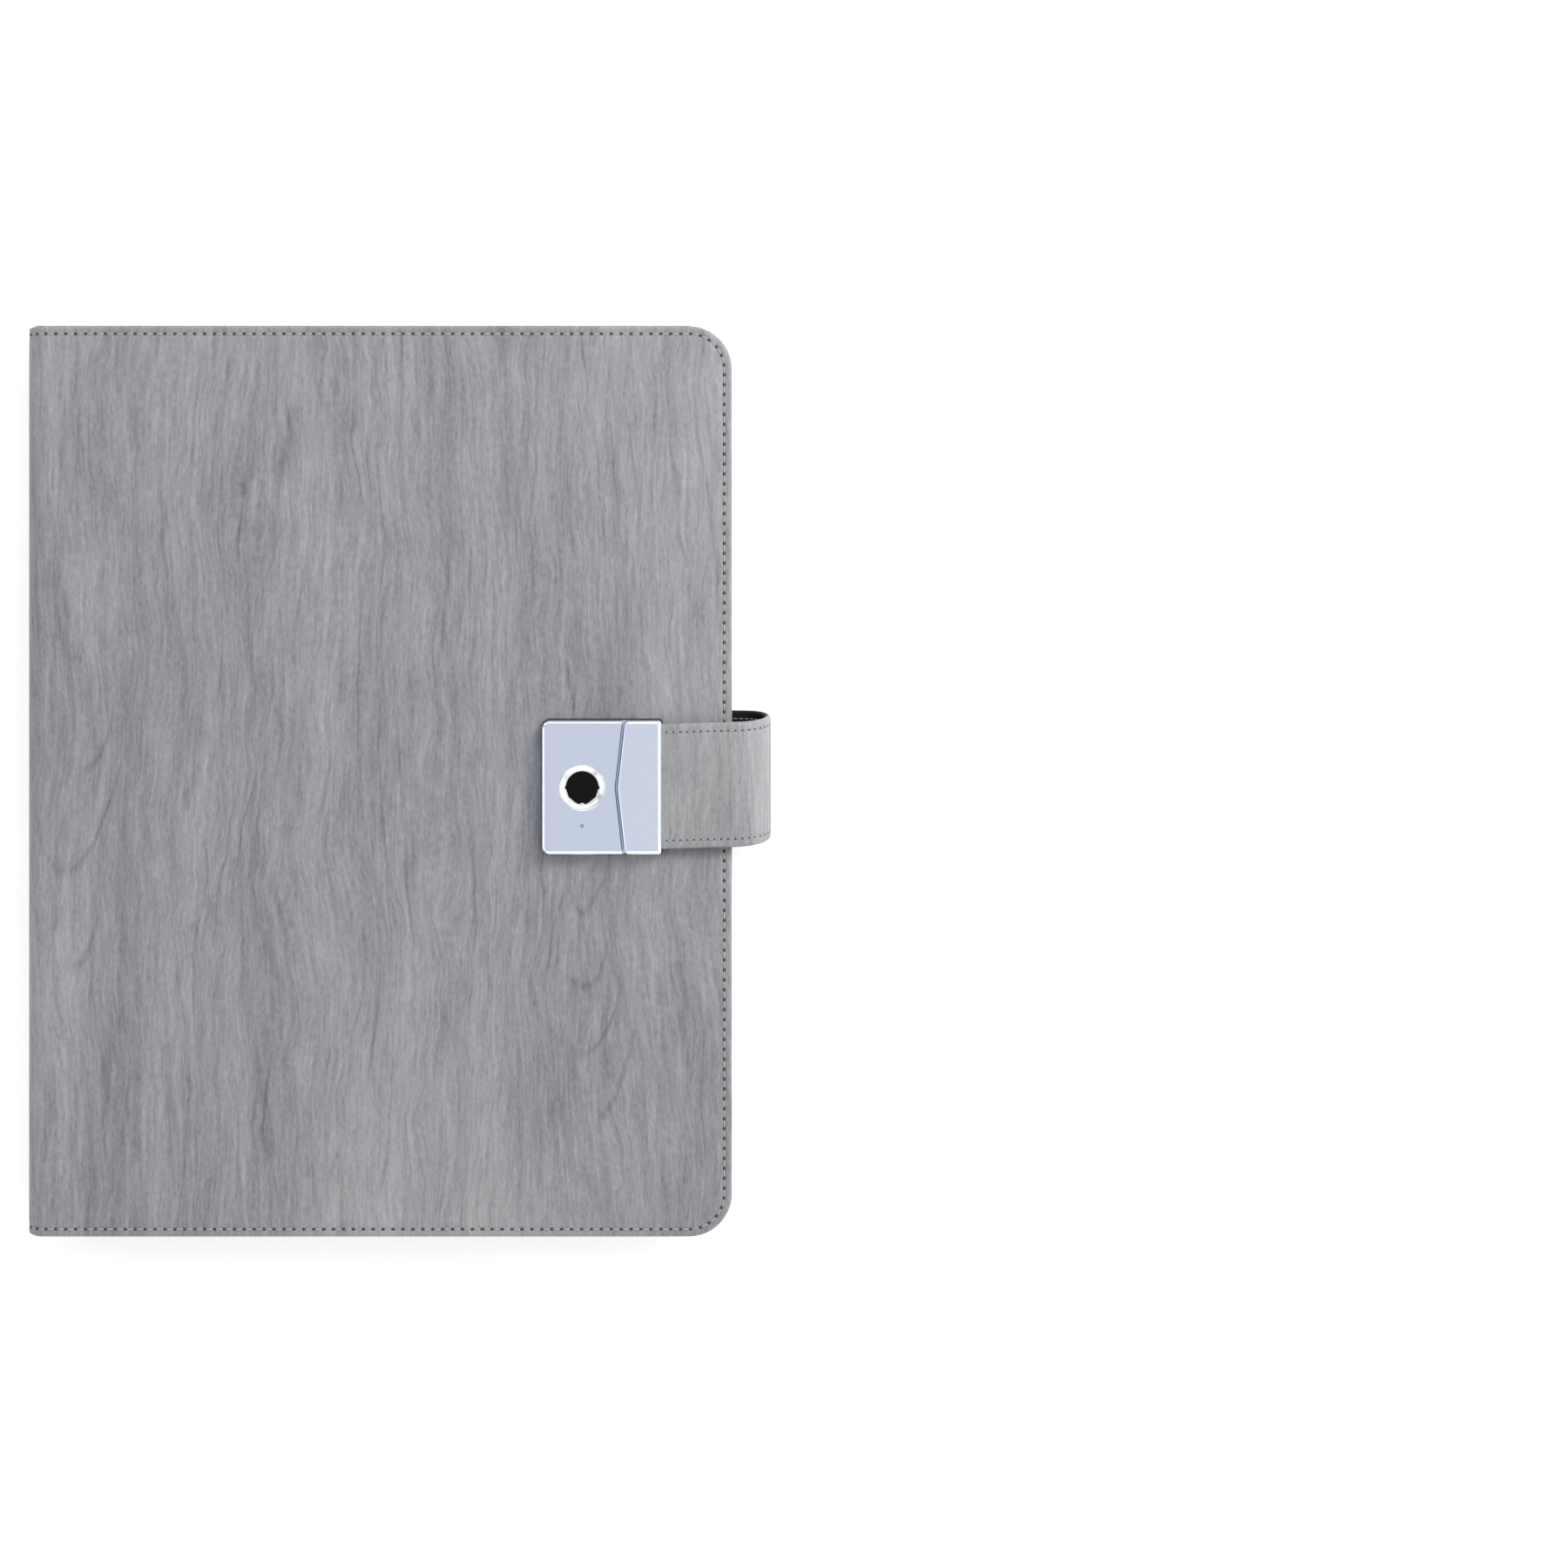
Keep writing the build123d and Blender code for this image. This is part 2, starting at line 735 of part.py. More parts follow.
def pen_loop():
    """Elastic loop on the back cover's lining at the fore-edge."""
    outer = pen_bore + pen_wall
    foot = Pos(0, pen_wall / 2 - outer) * Rectangle(pen_foot, pen_wall)
    face = Circle(outer) + foot - Circle(pen_bore)
    x = folder_width - pen_inset
    return along_y(Pos(x, cover + outer) * face, pen_offset - pen_length / 2, pen_offset + pen_length / 2)


# Ring binder

def ring_ys():
    return [(i - (ring_count - 1) / 2) * ring_pitch for i in range(ring_count)]


def ring_cover_plate():
    """Arched sheet with inturned lips, slotted where the rings come through."""
    half = ring_cover_width / 2
    inner = half - ring_cover_sheet
    side = ring_cover_side
    inner_side = side - ring_cover_sheet / 3
    crown = side + ring_cover_rise
    lip = half - ring_cover_lip
    outer_arc = ThreePointArc((-half, side), (0, crown), (half, side))
    inner_arc = ThreePointArc((inner, inner_side), (0, crown - ring_cover_sheet), (-inner, inner_side))
    right = Polyline((half, side), (half, 0), (lip, 0), (lip, ring_cover_sheet),
                     (inner, ring_cover_sheet), (inner, inner_side))
    left = Polyline((-inner, inner_side), (-inner, ring_cover_sheet), (-lip, ring_cover_sheet),
                    (-lip, 0), (-half, 0), (-half, side))
    face = make_face([outer_arc, right, inner_arc, left])
    reach = ring_cover_length / 2
    shape = along_y(Pos(ring_inset, cover) * face, -reach, reach)
    slot_half = ring_wire + ring_slot_play
    slot_low = ring_radius / 2
    for y in ring_ys():
        for side_x in (-1, 1):
            near, far = ring_inset + side_x * slot_low, ring_inset + side_x * inner
            shape -= block(min(near, far), max(near, far), y - slot_half, y + slot_half,
                           blade_z, ring_cover_top)
    for y in rivet_places():
        shape -= many_sided(ring_inset, y, cover, ring_cover_top, rivet_radius + hole_play)
    return shape


def blade_pivot_offset():
    return ring_cover_width / 2 - ring_cover_sheet - blade_play


def on_blade(z0, z1):
    """A layer lying along the tilted right blade, z measured from the blade's middle."""
    reach = ring_cover_length / 2 - blade_end_gap
    width = blade_pivot_offset() - blade_play / 4
    layer = block(-width, 0, -reach, reach, z0, z1)
    return Pos(ring_inset + blade_pivot_offset(), 0, blade_z) * Rot(0, -blade_tilt, 0) * layer


def right_blade():
    """Spring blade under the right half of the arch, its middle edge low."""
    return on_blade(-blade_sheet / 2, blade_sheet / 2)


def right_rings():
    """Right halves of the rings, from their seat on the blade up to the split at the top."""
    seat_angle = -math.degrees(math.asin((ring_lift - blade_height) / ring_radius))
    sweep_angle = 90 - seat_angle - math.degrees(ring_tip_gap / ring_radius)
    arc = CenterArc((0, 0), ring_radius, seat_angle, sweep_angle)
    path = Plane.XZ * arc
    section = RegularPolygon(ring_wire, ring_wire_sides)
    half_ring = sweep(Plane(path @ 0, z_dir=path % 0) * section, path=path)
    below = on_blade(-ring_radius, blade_sheet / 2)
    return group([Pos(ring_inset, y, ring_z) * half_ring - below for y in ring_ys()])


def to_left(shape):
    """The same piece on the binder's left side."""
    return mirror(shape, about=Plane.YZ.offset(ring_inset))


def ring_rivets():
    pieces = []
    for y in rivet_places():
        rivet = many_sided(ring_inset, y, leather, ring_cover_top, rivet_radius)
        rivet += many_sided(ring_inset, y, ring_cover_top, ring_cover_top + rivet_head_height,
                            rivet_head, rivet_head / 2)
        pieces.append(rivet)
    return group(pieces)


def pieces():
    """Every node of the folder by name."""
    cutout = lock_cutout()
    return {
        "back_cover_leather": cover_leather(),
        "back_cover_board": back_cover_sheet(cover_board()),
        "back_cover_lining": back_cover_sheet(cover_lining()),
        "back_crease": back_crease(),
        "spine_leather": spine_leather(),
        "spine_board": spine_board(),
        "spine_lining": spine_lining(),
        "front_crease": to_front(back_crease()),
        "front_cover_leather": to_front(cover_leather()) - cutout,
        "front_cover_board": to_front(cover_board()) - cutout,
        "front_cover_lining": front_cover_lining(),
        "document_pocket": document_pocket(),
        "card_pockets": card_pockets(),
        "pen_loop": pen_loop(),
        "strap_root": strap_root(),
        "strap_lower_bend": strap_bend(strap_split - 90, 0),
        "strap_upper_bend": strap_bend(0, 90),
        "strap_front": strap_front(),
        "lock_base": lock_base(),
        "lock_housing": lock_housing(),
        "sensor_bezel": sensor_bezel(),
        "fingerprint_sensor": fingerprint_sensor(),
        "led_light_pipe": led_light_pipe(),
        "circuit_board": circuit_board(),
        "battery": battery(),
        "usb_socket": usb_socket(),
        "lock_backing_plate": lock_backing_plate(),
        "lock_screws": lock_screws(),
        "latch_bolt": latch_bolt(),
        "motor_pinion": motor_pinion(),
        "latch_motor": latch_motor(),
        "latch_spring": latch_spring(),
        "tongue_cover": tongue_cover(),
        "tongue_back_plate": tongue_back_plate(),
        "striker": striker(),
        "tongue_screws": tongue_screws(),
        "ring_cover_plate": ring_cover_plate(),
        "ring_blade_right": right_blade(),
        "ring_blade_left": to_left(right_blade()),
        "ring_halves_right": right_rings(),
        "ring_halves_left": to_left(right_rings()),
        "ring_rivets": ring_rivets(),
    }


os.makedirs("parts", exist_ok=True)
for name, shape in pieces().items():
    export_step(Pos(-overall_width / 2, 0, 0) * shape, "parts/" + name + ".step")
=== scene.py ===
import bmesh
import bpy
import json
import math
import numpy as np
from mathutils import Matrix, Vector, geometry


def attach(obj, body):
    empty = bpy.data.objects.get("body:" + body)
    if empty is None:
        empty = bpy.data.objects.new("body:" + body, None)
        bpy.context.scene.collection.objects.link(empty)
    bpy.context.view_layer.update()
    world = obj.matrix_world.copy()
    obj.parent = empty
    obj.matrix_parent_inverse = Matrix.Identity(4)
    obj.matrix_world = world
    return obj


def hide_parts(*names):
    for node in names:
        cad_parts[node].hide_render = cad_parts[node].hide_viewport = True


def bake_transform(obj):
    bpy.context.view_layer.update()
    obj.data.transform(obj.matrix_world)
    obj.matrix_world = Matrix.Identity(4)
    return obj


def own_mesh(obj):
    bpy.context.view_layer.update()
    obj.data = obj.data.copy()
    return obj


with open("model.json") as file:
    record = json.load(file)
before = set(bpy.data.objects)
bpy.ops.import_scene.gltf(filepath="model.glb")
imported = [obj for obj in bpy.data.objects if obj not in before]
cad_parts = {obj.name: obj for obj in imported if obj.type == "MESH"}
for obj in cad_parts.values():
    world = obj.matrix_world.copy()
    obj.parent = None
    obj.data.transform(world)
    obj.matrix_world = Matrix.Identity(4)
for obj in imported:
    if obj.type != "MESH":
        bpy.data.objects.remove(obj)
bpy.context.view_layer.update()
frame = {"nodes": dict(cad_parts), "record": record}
nodes = frame["nodes"]

# Millimetres, X from the spine's outer face, as in the part's source
SHIFT_X = 132.1
THICK = 30.0
HALF_Y = 161.0
CORNER = 15.3
COVER_FLAT = 242.5
SPINE_R = 7.5
SPINE_HALF = THICK / 2 - SPINE_R
ARC = SPINE_R * math.pi / 2
FAR_X = SPINE_R + COVER_FLAT
# Distances s along the flat leather, from the middle of the spine
S_FLAT = SPINE_HALF + ARC
S_END = S_FLAT + COVER_FLAT
STITCH_IN = 2.8
PITCH = 3.5
BAND = 6.0
LINING_DEEP = 4.4

LOCK_Y = -1.75
LOCK_L, LOCK_R = 183.0, 225.0
HALF_LOCK = 23.5
LOW_Y, HIGH_Y = LOCK_Y - HALF_LOCK, LOCK_Y + HALF_LOCK
SENSOR_X = LOCK_L + 14.2
LIGHT_Y = LOCK_Y - 13.4
HOUSING_TOP = 37.2
GAP = 0.6
TONGUE_MID, TONGUE_CORNER = LOCK_R - 15.6, LOCK_R - 13.0
HOUSING_CORNERS = [(LOCK_L, LOW_Y), (TONGUE_CORNER - GAP, LOW_Y), (TONGUE_MID - GAP, LOCK_Y),
                   (TONGUE_CORNER - GAP, HIGH_Y), (LOCK_L, HIGH_Y)]
HOUSING_RADII = [2.8, 0.5, 6.0, 0.5, 2.8]
BASE_CORNERS = [(LOCK_L, LOW_Y), (LOCK_R, LOW_Y), (LOCK_R, HIGH_Y), (LOCK_L, HIGH_Y)]
BASE_RADII = [2.8, 0.9, 0.9, 2.8]
CORNER_POINTS = 7
UP, DOWN = (0, 0, 1), (0, 0, -1)


# Meshes

def to_row(points):
    """Points in millimetres from the spine, in the row frame in metres."""
    p = np.asarray(points, float)
    return (p - np.array([SHIFT_X, 0.0, 0.0])) / 1000.0


def placed(name, data):
    obj = bpy.data.objects.new(name, data)
    bpy.context.scene.collection.objects.link(obj)
    return obj


def make(name, shape, material, body=None):
    """A mesh object from points in millimetres, faces and, for a grain, the flat pattern."""
    points, faces, *flat = shape
    mesh = bpy.data.meshes.new(name)
    mesh.from_pydata(to_row(points).tolist(), [], [list(f) for f in faces])
    mesh.validate()
    if flat:
        layer = mesh.uv_layers.new(name="flat")
        index = np.zeros(len(mesh.loops), int)
        mesh.loops.foreach_get("vertex_index", index)
        layer.data.foreach_set("uv", (np.asarray(flat[0], float)[index] / 1000.0).ravel())
    mesh.polygons.foreach_set("use_smooth", [True] * len(mesh.polygons))
    mesh.materials.append(material)
    obj = placed(name, mesh)
    if body:
        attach(obj, body)
    return obj


def grid(rows, columns, closed=False, flip=False):
    """Quads over a grid of points stored row by row; a closed one joins each row's ends."""
    faces = []
    for i in range(rows - 1):
        for j in range(columns if closed else columns - 1):
            a = i * columns + j
            b = i * columns + (j + 1) % columns
            c, d = b + columns, a + columns
            faces.append((a, d, c, b) if flip else (a, b, c, d))
    return faces


def join(parts, turn=False):
    """Several (points, faces) shapes as one, with its faces turned over where turn says so."""
    points, faces, start = [], [], 0
    for part_points, part_faces in parts:
        points.append(np.asarray(part_points, float))
        for face in part_faces:
            face = tuple(i + start for i in face)
            faces.append(face[::-1] if turn else face)
        start += len(part_points)
    return np.vstack(points), faces


def smooth_step(t):
    t = np.clip(t, 0, 1)
    return t * t * (3 - 2 * t)


def offset_outline(corners, radii, inset):
    """A closed outline moved inwards, each corner rounded with what is left of its radius."""
    points = []
    count = len(corners)
    for i in range(count):
        before, here, after = (np.array(corners[(i + k) % count], float) for k in (-1, 0, 1))
        d1 = (here - before) / np.linalg.norm(here - before)
        d2 = (after - here) / np.linalg.norm(after - here)
        n1, n2 = np.array([-d1[1], d1[0]]), np.array([-d2[1], d2[0]])
        cross = d1[0] * d2[1] - d1[1] * d2[0]
        apex = here + (n1 + n2) * inset / (1 + n1 @ n2)
        radius = max(radii[i] - inset, 0.15) if cross > 0 else radii[i] + inset
        turn = math.atan2(cross, d1 @ d2)
        run = radius * math.tan(abs(turn) / 2)
        centre = apex - d1 * run + (n1 if cross > 0 else -n1) * radius
        first = apex - d1 * run - centre
        for k in range(CORNER_POINTS):
            a = turn * k / (CORNER_POINTS - 1)
            points.append(centre + np.array([first[0] * math.cos(a) - first[1] * math.sin(a),
                                             first[0] * math.sin(a) + first[1] * math.cos(a)]))
    return np.array(points)


def levels_of(corners, radii, levels, slide=None, flip=False):
    """A wall through rings of one outline, each (inset, z), and its last ring.

    A corner in slide also moves along X as the rings go in, which keeps a vee's bevel narrow.
    """
    slide = slide or {}
    rings = []
    for inset, _ in levels:
        moved = [(x + slide.get(i, 0.0) * inset, y) for i, (x, y) in enumerate(corners)]
        rings.append(offset_outline(moved, radii, inset))
    points = np.vstack([np.column_stack([ring, np.full(len(ring), z)])
                        for ring, (_, z) in zip(rings, levels)])
    return points, grid(len(levels), len(rings[0]), closed=True, flip=flip), rings[-1]


def cap(outline, holes, z, up=True):
    """A level face with holes, filled between its loops."""
    work = bmesh.new()
    edges = []
    for loop in [outline, *holes]:
        ring = [work.verts.new((p[0], p[1], z)) for p in loop]
        edges += [work.edges.new((v, ring[(i + 1) % len(ring)])) for i, v in enumerate(ring)]
    bmesh.ops.triangle_fill(work, use_beauty=True, use_dissolve=False, edges=edges)
    work.verts.index_update()
    points = np.array([v.co[:] for v in work.verts])
    faces = []
    for f in work.faces:
        ring = [v.index for v in f.verts]
        faces.append(tuple(ring if (f.normal.z > 0) == up else reversed(ring)))
    work.free()
    return points, faces


def tube(path, across, up, half_width, half_height, sides=6):
    """A closed tube of oval section along a path, from two directions at each point."""
    points = []
    for p, w, u in zip(path, across, up):
        for k in range(sides):
            a = 2 * math.pi * k / sides
            points.append(p + w * half_width * math.cos(a) + u * half_height * math.sin(a))
    faces = grid(len(path), sides, closed=True)
    faces.append(tuple(reversed(range(sides))))
    faces.append(tuple(range((len(path) - 1) * sides, len(path) * sides)))
    return np.array(points), faces


def circle(x, y, radius, count=64):
    return [(x + radius * math.cos(2 * math.pi * k / count),
             y + radius * math.sin(2 * math.pi * k / count)) for k in range(count)]


def turned(x, y, profile, count, flip=False):
    """A surface of revolution from (radius, z) points."""
    points = [(px, py, z) for r, z in profile for px, py in circle(x, y, r, count)]
    return np.array(points), grid(len(profile), count, closed=True, flip=flip)


# Materials

def nodes_of(name):
    material = bpy.data.materials.new(name)
    material.use_nodes = True
    tree = material.node_tree
    return material, tree, tree.nodes["Principled BSDF"]


def feed(tree, node, inputs):
    """Gives a node's inputs, by name or number, a value or a link each."""
    for key, value in inputs.items():
        if isinstance(value, bpy.types.NodeSocket):
            tree.links.new(value, node.inputs[key])
        else:
            node.inputs[key].default_value = value


def add(tree, kind, inputs, **settings):
    node = tree.nodes.new(kind)
    for key, value in settings.items():
        setattr(node, key, value)
    feed(tree, node, inputs)
    return node


def math_node(tree, operation, *values, clamp=False):
    return add(tree, "ShaderNodeMath", dict(enumerate(values)), operation=operation,
               use_clamp=clamp).outputs[0]


def vector_node(tree, operation, inputs):
    return add(tree, "ShaderNodeVectorMath", inputs, operation=operation).outputs[0]


def noise(tree, vector, scale, detail=2.0, rough=0.5):
    return add(tree, "ShaderNodeTexNoise", {"Vector": vector, "Scale": scale, "Detail": detail,
                                            "Roughness": rough})


def ramp(tree, value, stops):
    node = add(tree, "ShaderNodeValToRGB", {0: value})
    points = node.color_ramp.elements
    while len(points) < len(stops):
        points.new(0.5)
    for point, (place, color) in zip(points, stops):
        point.position = place
        point.color = (*color, 1.0)
    return node.outputs[0]


def mapped(tree, source, scale, place=(0, 0, 0)):
    return add(tree, "ShaderNodeMapping", {"Vector": source, "Scale": scale,
                                           "Location": place}).outputs[0]


def bump(tree, height, strength, distance):
    return add(tree, "ShaderNodeBump", {"Height": height, "Strength": strength,
                                        "Distance": distance}).outputs[0]


def warp(tree, source, scale, reach, detail, patch=None):
    """The pattern pushed sideways by smooth noise, only inside patches where they are given."""
    wander = noise(tree, mapped(tree, source, scale), 1.0, detail).outputs["Color"]
    push = vector_node(tree, "SUBTRACT", {0: wander, 1: (0.5, 0.5, 0.5)})
    push = vector_node(tree, "MULTIPLY", {0: push, 1: (*reach, 0)})
    if patch is not None:
        push = vector_node(tree, "SCALE", {0: push, 3: patch})
    return vector_node(tree, "ADD", {0: source, 1: push})


def grain_leather(name, middle, slope):
    """Imitation leather embossed with a long wavy wood grain, drawn on the flat pattern.

    Its colour is middle plus slope times the sum of the grain's layers.
    """
    material, tree, shader = nodes_of(name)
    flat = add(tree, "ShaderNodeUVMap", {}, uv_map="flat").outputs[0]

    def layer(source, across, along, detail, rough=0.5, place=(0, 0, 0)):
        """Noise with its waves per metre across and along the grain."""
        pattern = mapped(tree, source, (across, along, 1), place)
        return noise(tree, pattern, 1.0, detail, rough).outputs["Fac"]

    curly = math_node(tree, "MULTIPLY_ADD", layer(flat, 17, 11, 1.0), 6.0, -2.9, clamp=True)
    bent = warp(tree, flat, (14, 8, 1), (0.024, 0.012), 3.0)
    bent = warp(tree, bent, (70, 48, 1), (0.0075, 0.002), 2.0, curly)
    fine = layer(bent, 1150, 380, 3.0, 0.6)
    fibre = layer(bent, 820, 75, 3.0, 0.6)
    streak = layer(bent, 300, 22, 3.0, 0.6)
    band = layer(bent, 48, 5, 2.0)
    cloud = layer(flat, 11, 5, 2.0, place=(-4.2, 2.6, 0))

    # Growth rings: thin lines where a slow figure crosses its levels, shown in places only
    figure = math_node(tree, "MULTIPLY", layer(bent, 15, 2.4, 1.0, 0.4), 62.0)
    rings = math_node(tree, "ABSOLUTE", math_node(tree, "SINE", figure))
    lines = math_node(tree, "SUBTRACT", 1.0, math_node(tree, "MULTIPLY", rings, 3.2), clamp=True)
    shown = math_node(tree, "MULTIPLY_ADD", layer(flat, 40, 14, 2.0), 7.0, -3.4, clamp=True)
    lines = math_node(tree, "MULTIPLY", lines, shown)

    total = math_node(tree, "MULTIPLY_ADD", lines, -0.16, -0.60)
    for part, share in ((fine, 0.40), (fibre, 0.48), (streak, 0.44), (band, 0.38), (cloud, 0.46)):
        total = math_node(tree, "MULTIPLY_ADD", part, share, total)
    low = tuple(v - 0.4 * slope for v in middle)
    high = tuple(v + 0.4 * slope for v in middle)
    color = ramp(tree, total, [(0.1, low), (0.9, high)])
    tint = ramp(tree, layer(flat, 60, 30, 2.0),
                [(0.3, (1.0, 0.985, 0.985)), (0.7, (0.985, 0.995, 1.0))])
    mix = add(tree, "ShaderNodeMix", {0: 1.0, 6: color, 7: tint}, data_type="RGBA",
              blend_type="MULTIPLY")
    height = math_node(tree, "ADD", fibre, streak)
    height = math_node(tree, "MULTIPLY_ADD", lines, -0.35, height)
    height = math_node(tree, "MULTIPLY_ADD", fine, 0.5, height)
    feed(tree, shader, {
        "Base Color": mix.outputs[2], "Specular IOR Level": 0.35,
        "Roughness": math_node(tree, "MULTIPLY_ADD", fibre, 0.22, 0.41),
        "Normal": bump(tree, height, 0.6, 0.00018)})
    return material


def grained(name, low, high, rough, scale, depth, metallic=0.0, stretch=(1, 1, 1), specular=0.5,
            strength=0.4):
    """A finish with fine noise in its colour, roughness and surface, placed on the object."""
    material, tree, shader = nodes_of(name)
    place = add(tree, "ShaderNodeTexCoord", {}).outputs["Object"]
    fine = noise(tree, mapped(tree, place, stretch), scale, 3.0, 0.6).outputs["Fac"]
    feed(tree, shader, {
        "Base Color": ramp(tree, fine, [(0.3, low), (0.7, high)]),
        "Roughness": math_node(tree, "MULTIPLY_ADD", fine, 0.16, rough - 0.08),
        "Metallic": metallic, "Specular IOR Level": specular,
        "Normal": bump(tree, fine, strength, depth)})
    return material


def metal(name, low, high, rough, scale, depth, stretch=(1, 1, 1)):
    return grained(name, low, high, rough, scale, depth, metallic=1.0, stretch=stretch)


def thread(name, low, high):
    return grained(name, low, high, 0.7, 5200.0, 0.00008, specular=0.3)


def woven(name, low, high, pitch):
    """Plain weave of crossing threads."""
    material, tree, shader = nodes_of(name)
    place = add(tree, "ShaderNodeTexCoord", {}).outputs["Object"]
    split = add(tree, "ShaderNodeSeparateXYZ", {0: place})
    turns = 2 * math.pi / pitch
    waves = [math_node(tree, "SINE", math_node(tree, "MULTIPLY", split.outputs[k], turns))
             for k in (0, 1)]
    cross = math_node(tree, "MULTIPLY_ADD", math_node(tree, "MULTIPLY", *waves), 0.35, 0.5)
    slub = noise(tree, mapped(tree, place, (1, 0.15, 1)), 900.0).outputs["Fac"]
    total = math_node(tree, "MULTIPLY_ADD", slub, 0.5, math_node(tree, "MULTIPLY", cross, 0.5))
    feed(tree, shader, {
        "Base Color": ramp(tree, total, [(0.25, low), (0.75, high)]),
        "Roughness": math_node(tree, "MULTIPLY_ADD", slub, 0.2, 0.75),
        "Specular IOR Level": 0.2, "Normal": bump(tree, total, 0.5, 0.0001)})
    return material


LEATHER = grain_leather("grain_leather", (0.269, 0.269, 0.281), 0.445)
STRAP_LEATHER = grain_leather("strap_grain_leather", (0.288, 0.289, 0.299), 0.40)
THREAD = thread("thread", (0.30, 0.30, 0.312), (0.44, 0.44, 0.45))
INNER_THREAD = thread("inner_thread", (0.10, 0.105, 0.13), (0.20, 0.21, 0.25))
STRAP_THREAD = thread("strap_thread", (0.26, 0.26, 0.275), (0.40, 0.40, 0.41))
# Near black discs at the needle holes: painted shade inside the holes
HOLE_SHADE = grained("needle_hole_shade", (0.050, 0.045, 0.050), (0.09, 0.082, 0.088), 0.85, 4000.0, 0.00005,
               specular=0.1)
METAL = metal("lock_metal", (0.671, 0.735, 0.900), (0.722, 0.787, 0.941), 0.30, 2600.0, 0.000008)
TONGUE_METAL = metal("tongue_metal", (0.714, 0.772, 0.928), (0.765, 0.819, 0.969), 0.30, 2600.0,
                     0.000008)
# A brighter copy of the tongue's metal for its bevel: painted highlight
RIM_HIGHLIGHT = metal("tongue_rim_highlight", (0.84, 0.88, 0.96), (0.90, 0.93, 0.99), 0.26, 2600.0, 0.000006)
BRIGHT = metal("bright_dish", (0.86, 0.88, 0.92), (0.95, 0.96, 0.98), 0.27, 2600.0, 0.000003)
GLASS = grained("sensor_glass", (0.005, 0.0045, 0.005), (0.008, 0.0075, 0.008), 0.3, 1500.0,
                0.000004, specular=0.05)
PIPE = grained("light_pipe", (0.34, 0.35, 0.40), (0.42, 0.43, 0.48), 0.3, 1500.0, 0.00001)
LINING = woven("lining_cloth", (0.016, 0.017, 0.026), (0.055, 0.057, 0.075), 0.0007)
STRAP_LINING = grained("strap_lining", (0.012, 0.010, 0.009), (0.03, 0.026, 0.024), 0.6, 1800.0,
                       0.00006, specular=0.3)
# Near black: painted shade for the band round the lock's foot
SHADOW_BAND_DARK = grained("shadow_band_paint", (0.02, 0.019, 0.021), (0.042, 0.04, 0.043), 0.7, 2200.0,
                 0.00003, specular=0.2)
DARK_LEATHER = grained("dark_leather", (0.03, 0.03, 0.034), (0.085, 0.085, 0.093), 0.5, 1300.0,
                       0.00012, specular=0.4)
BOARD = grained("greyboard", (0.36, 0.34, 0.31), (0.50, 0.48, 0.44), 0.9, 1400.0, 0.00005,
                specular=0.2)
STEEL = metal("plate_steel", (0.45, 0.46, 0.48), (0.60, 0.61, 0.63), 0.32, 1800.0, 0.00001,
              stretch=(1, 0.1, 1))
SCREW = metal("screw_steel", (0.30, 0.31, 0.33), (0.46, 0.47, 0.49), 0.28, 2500.0, 0.00001)
NICKEL = metal("ring_nickel", (0.46, 0.46, 0.455), (0.51, 0.51, 0.505), 0.24, 2600.0, 0.000004)
BRASS = metal("pinion_brass", (0.60, 0.42, 0.16), (0.74, 0.55, 0.24), 0.28, 2500.0, 0.00001)
GREEN = grained("circuit_green", (0.01, 0.09, 0.035), (0.02, 0.15, 0.06), 0.35, 1200.0, 0.00002)
WRAP = grained("battery_wrap", (0.30, 0.31, 0.33), (0.42, 0.43, 0.45), 0.4, 900.0, 0.00005,
               metallic=0.4)
ELASTIC = grained("elastic", (0.014, 0.014, 0.018), (0.045, 0.045, 0.052), 0.8, 2400.0, 0.0002,
                  stretch=(1, 0.2, 1), specular=0.2, strength=0.8)

SLOTS = {
    "cover_leather": LEATHER, "strap_leather": STRAP_LEATHER, "greyboard": BOARD,
    "lining_cloth": LINING, "pocket_leather": DARK_LEATHER, "elastic": ELASTIC,
    "lock_metal": METAL, "plate_steel": STEEL, "screw_steel": SCREW, "bright_ring": BRIGHT,
    "sensor_glass": GLASS, "light_pipe": PIPE, "circuit_green": GREEN, "battery_wrap": WRAP,
    "pinion_brass": BRASS, "ring_metal": NICKEL}
for entry in frame["record"]["subparts"]:
    if entry["material_slot"] in SLOTS:
        mesh = nodes[entry["node"]].data
        mesh.materials.clear()
        mesh.materials.append(SLOTS[entry["material_slot"]])


# Leather wrap: one flat pattern with its distance s round the spine, bent over the boards

def wrapped(s, y, h, side):
    """Points of the flat pattern on the folder: h is the height above the leather's face."""
    s, y, h = np.broadcast_arrays(np.asarray(s, float), y, h)
    angle = np.clip((s - SPINE_HALF) / SPINE_R, 0, math.pi / 2)
    run = np.clip(s - S_FLAT, 0, None)
    x = SPINE_R * (1 - np.cos(angle)) + run - np.cos(angle) * h
    z = THICK / 2 + np.minimum(s, SPINE_HALF) + SPINE_R * np.sin(angle) + np.sin(angle) * h
    if side < 0:
        z = THICK - z
    return np.stack([x, y, z], -1)


def rim_depth(s):
    """How deep the turned edge reaches: as deep as the board, and less where a crease bends."""
    near = smooth_step((abs(s - SPINE_HALF - ARC / 2) - ARC / 2 + 1.5) / 3.0)
    return 1.9 + 1.45 * float(near)


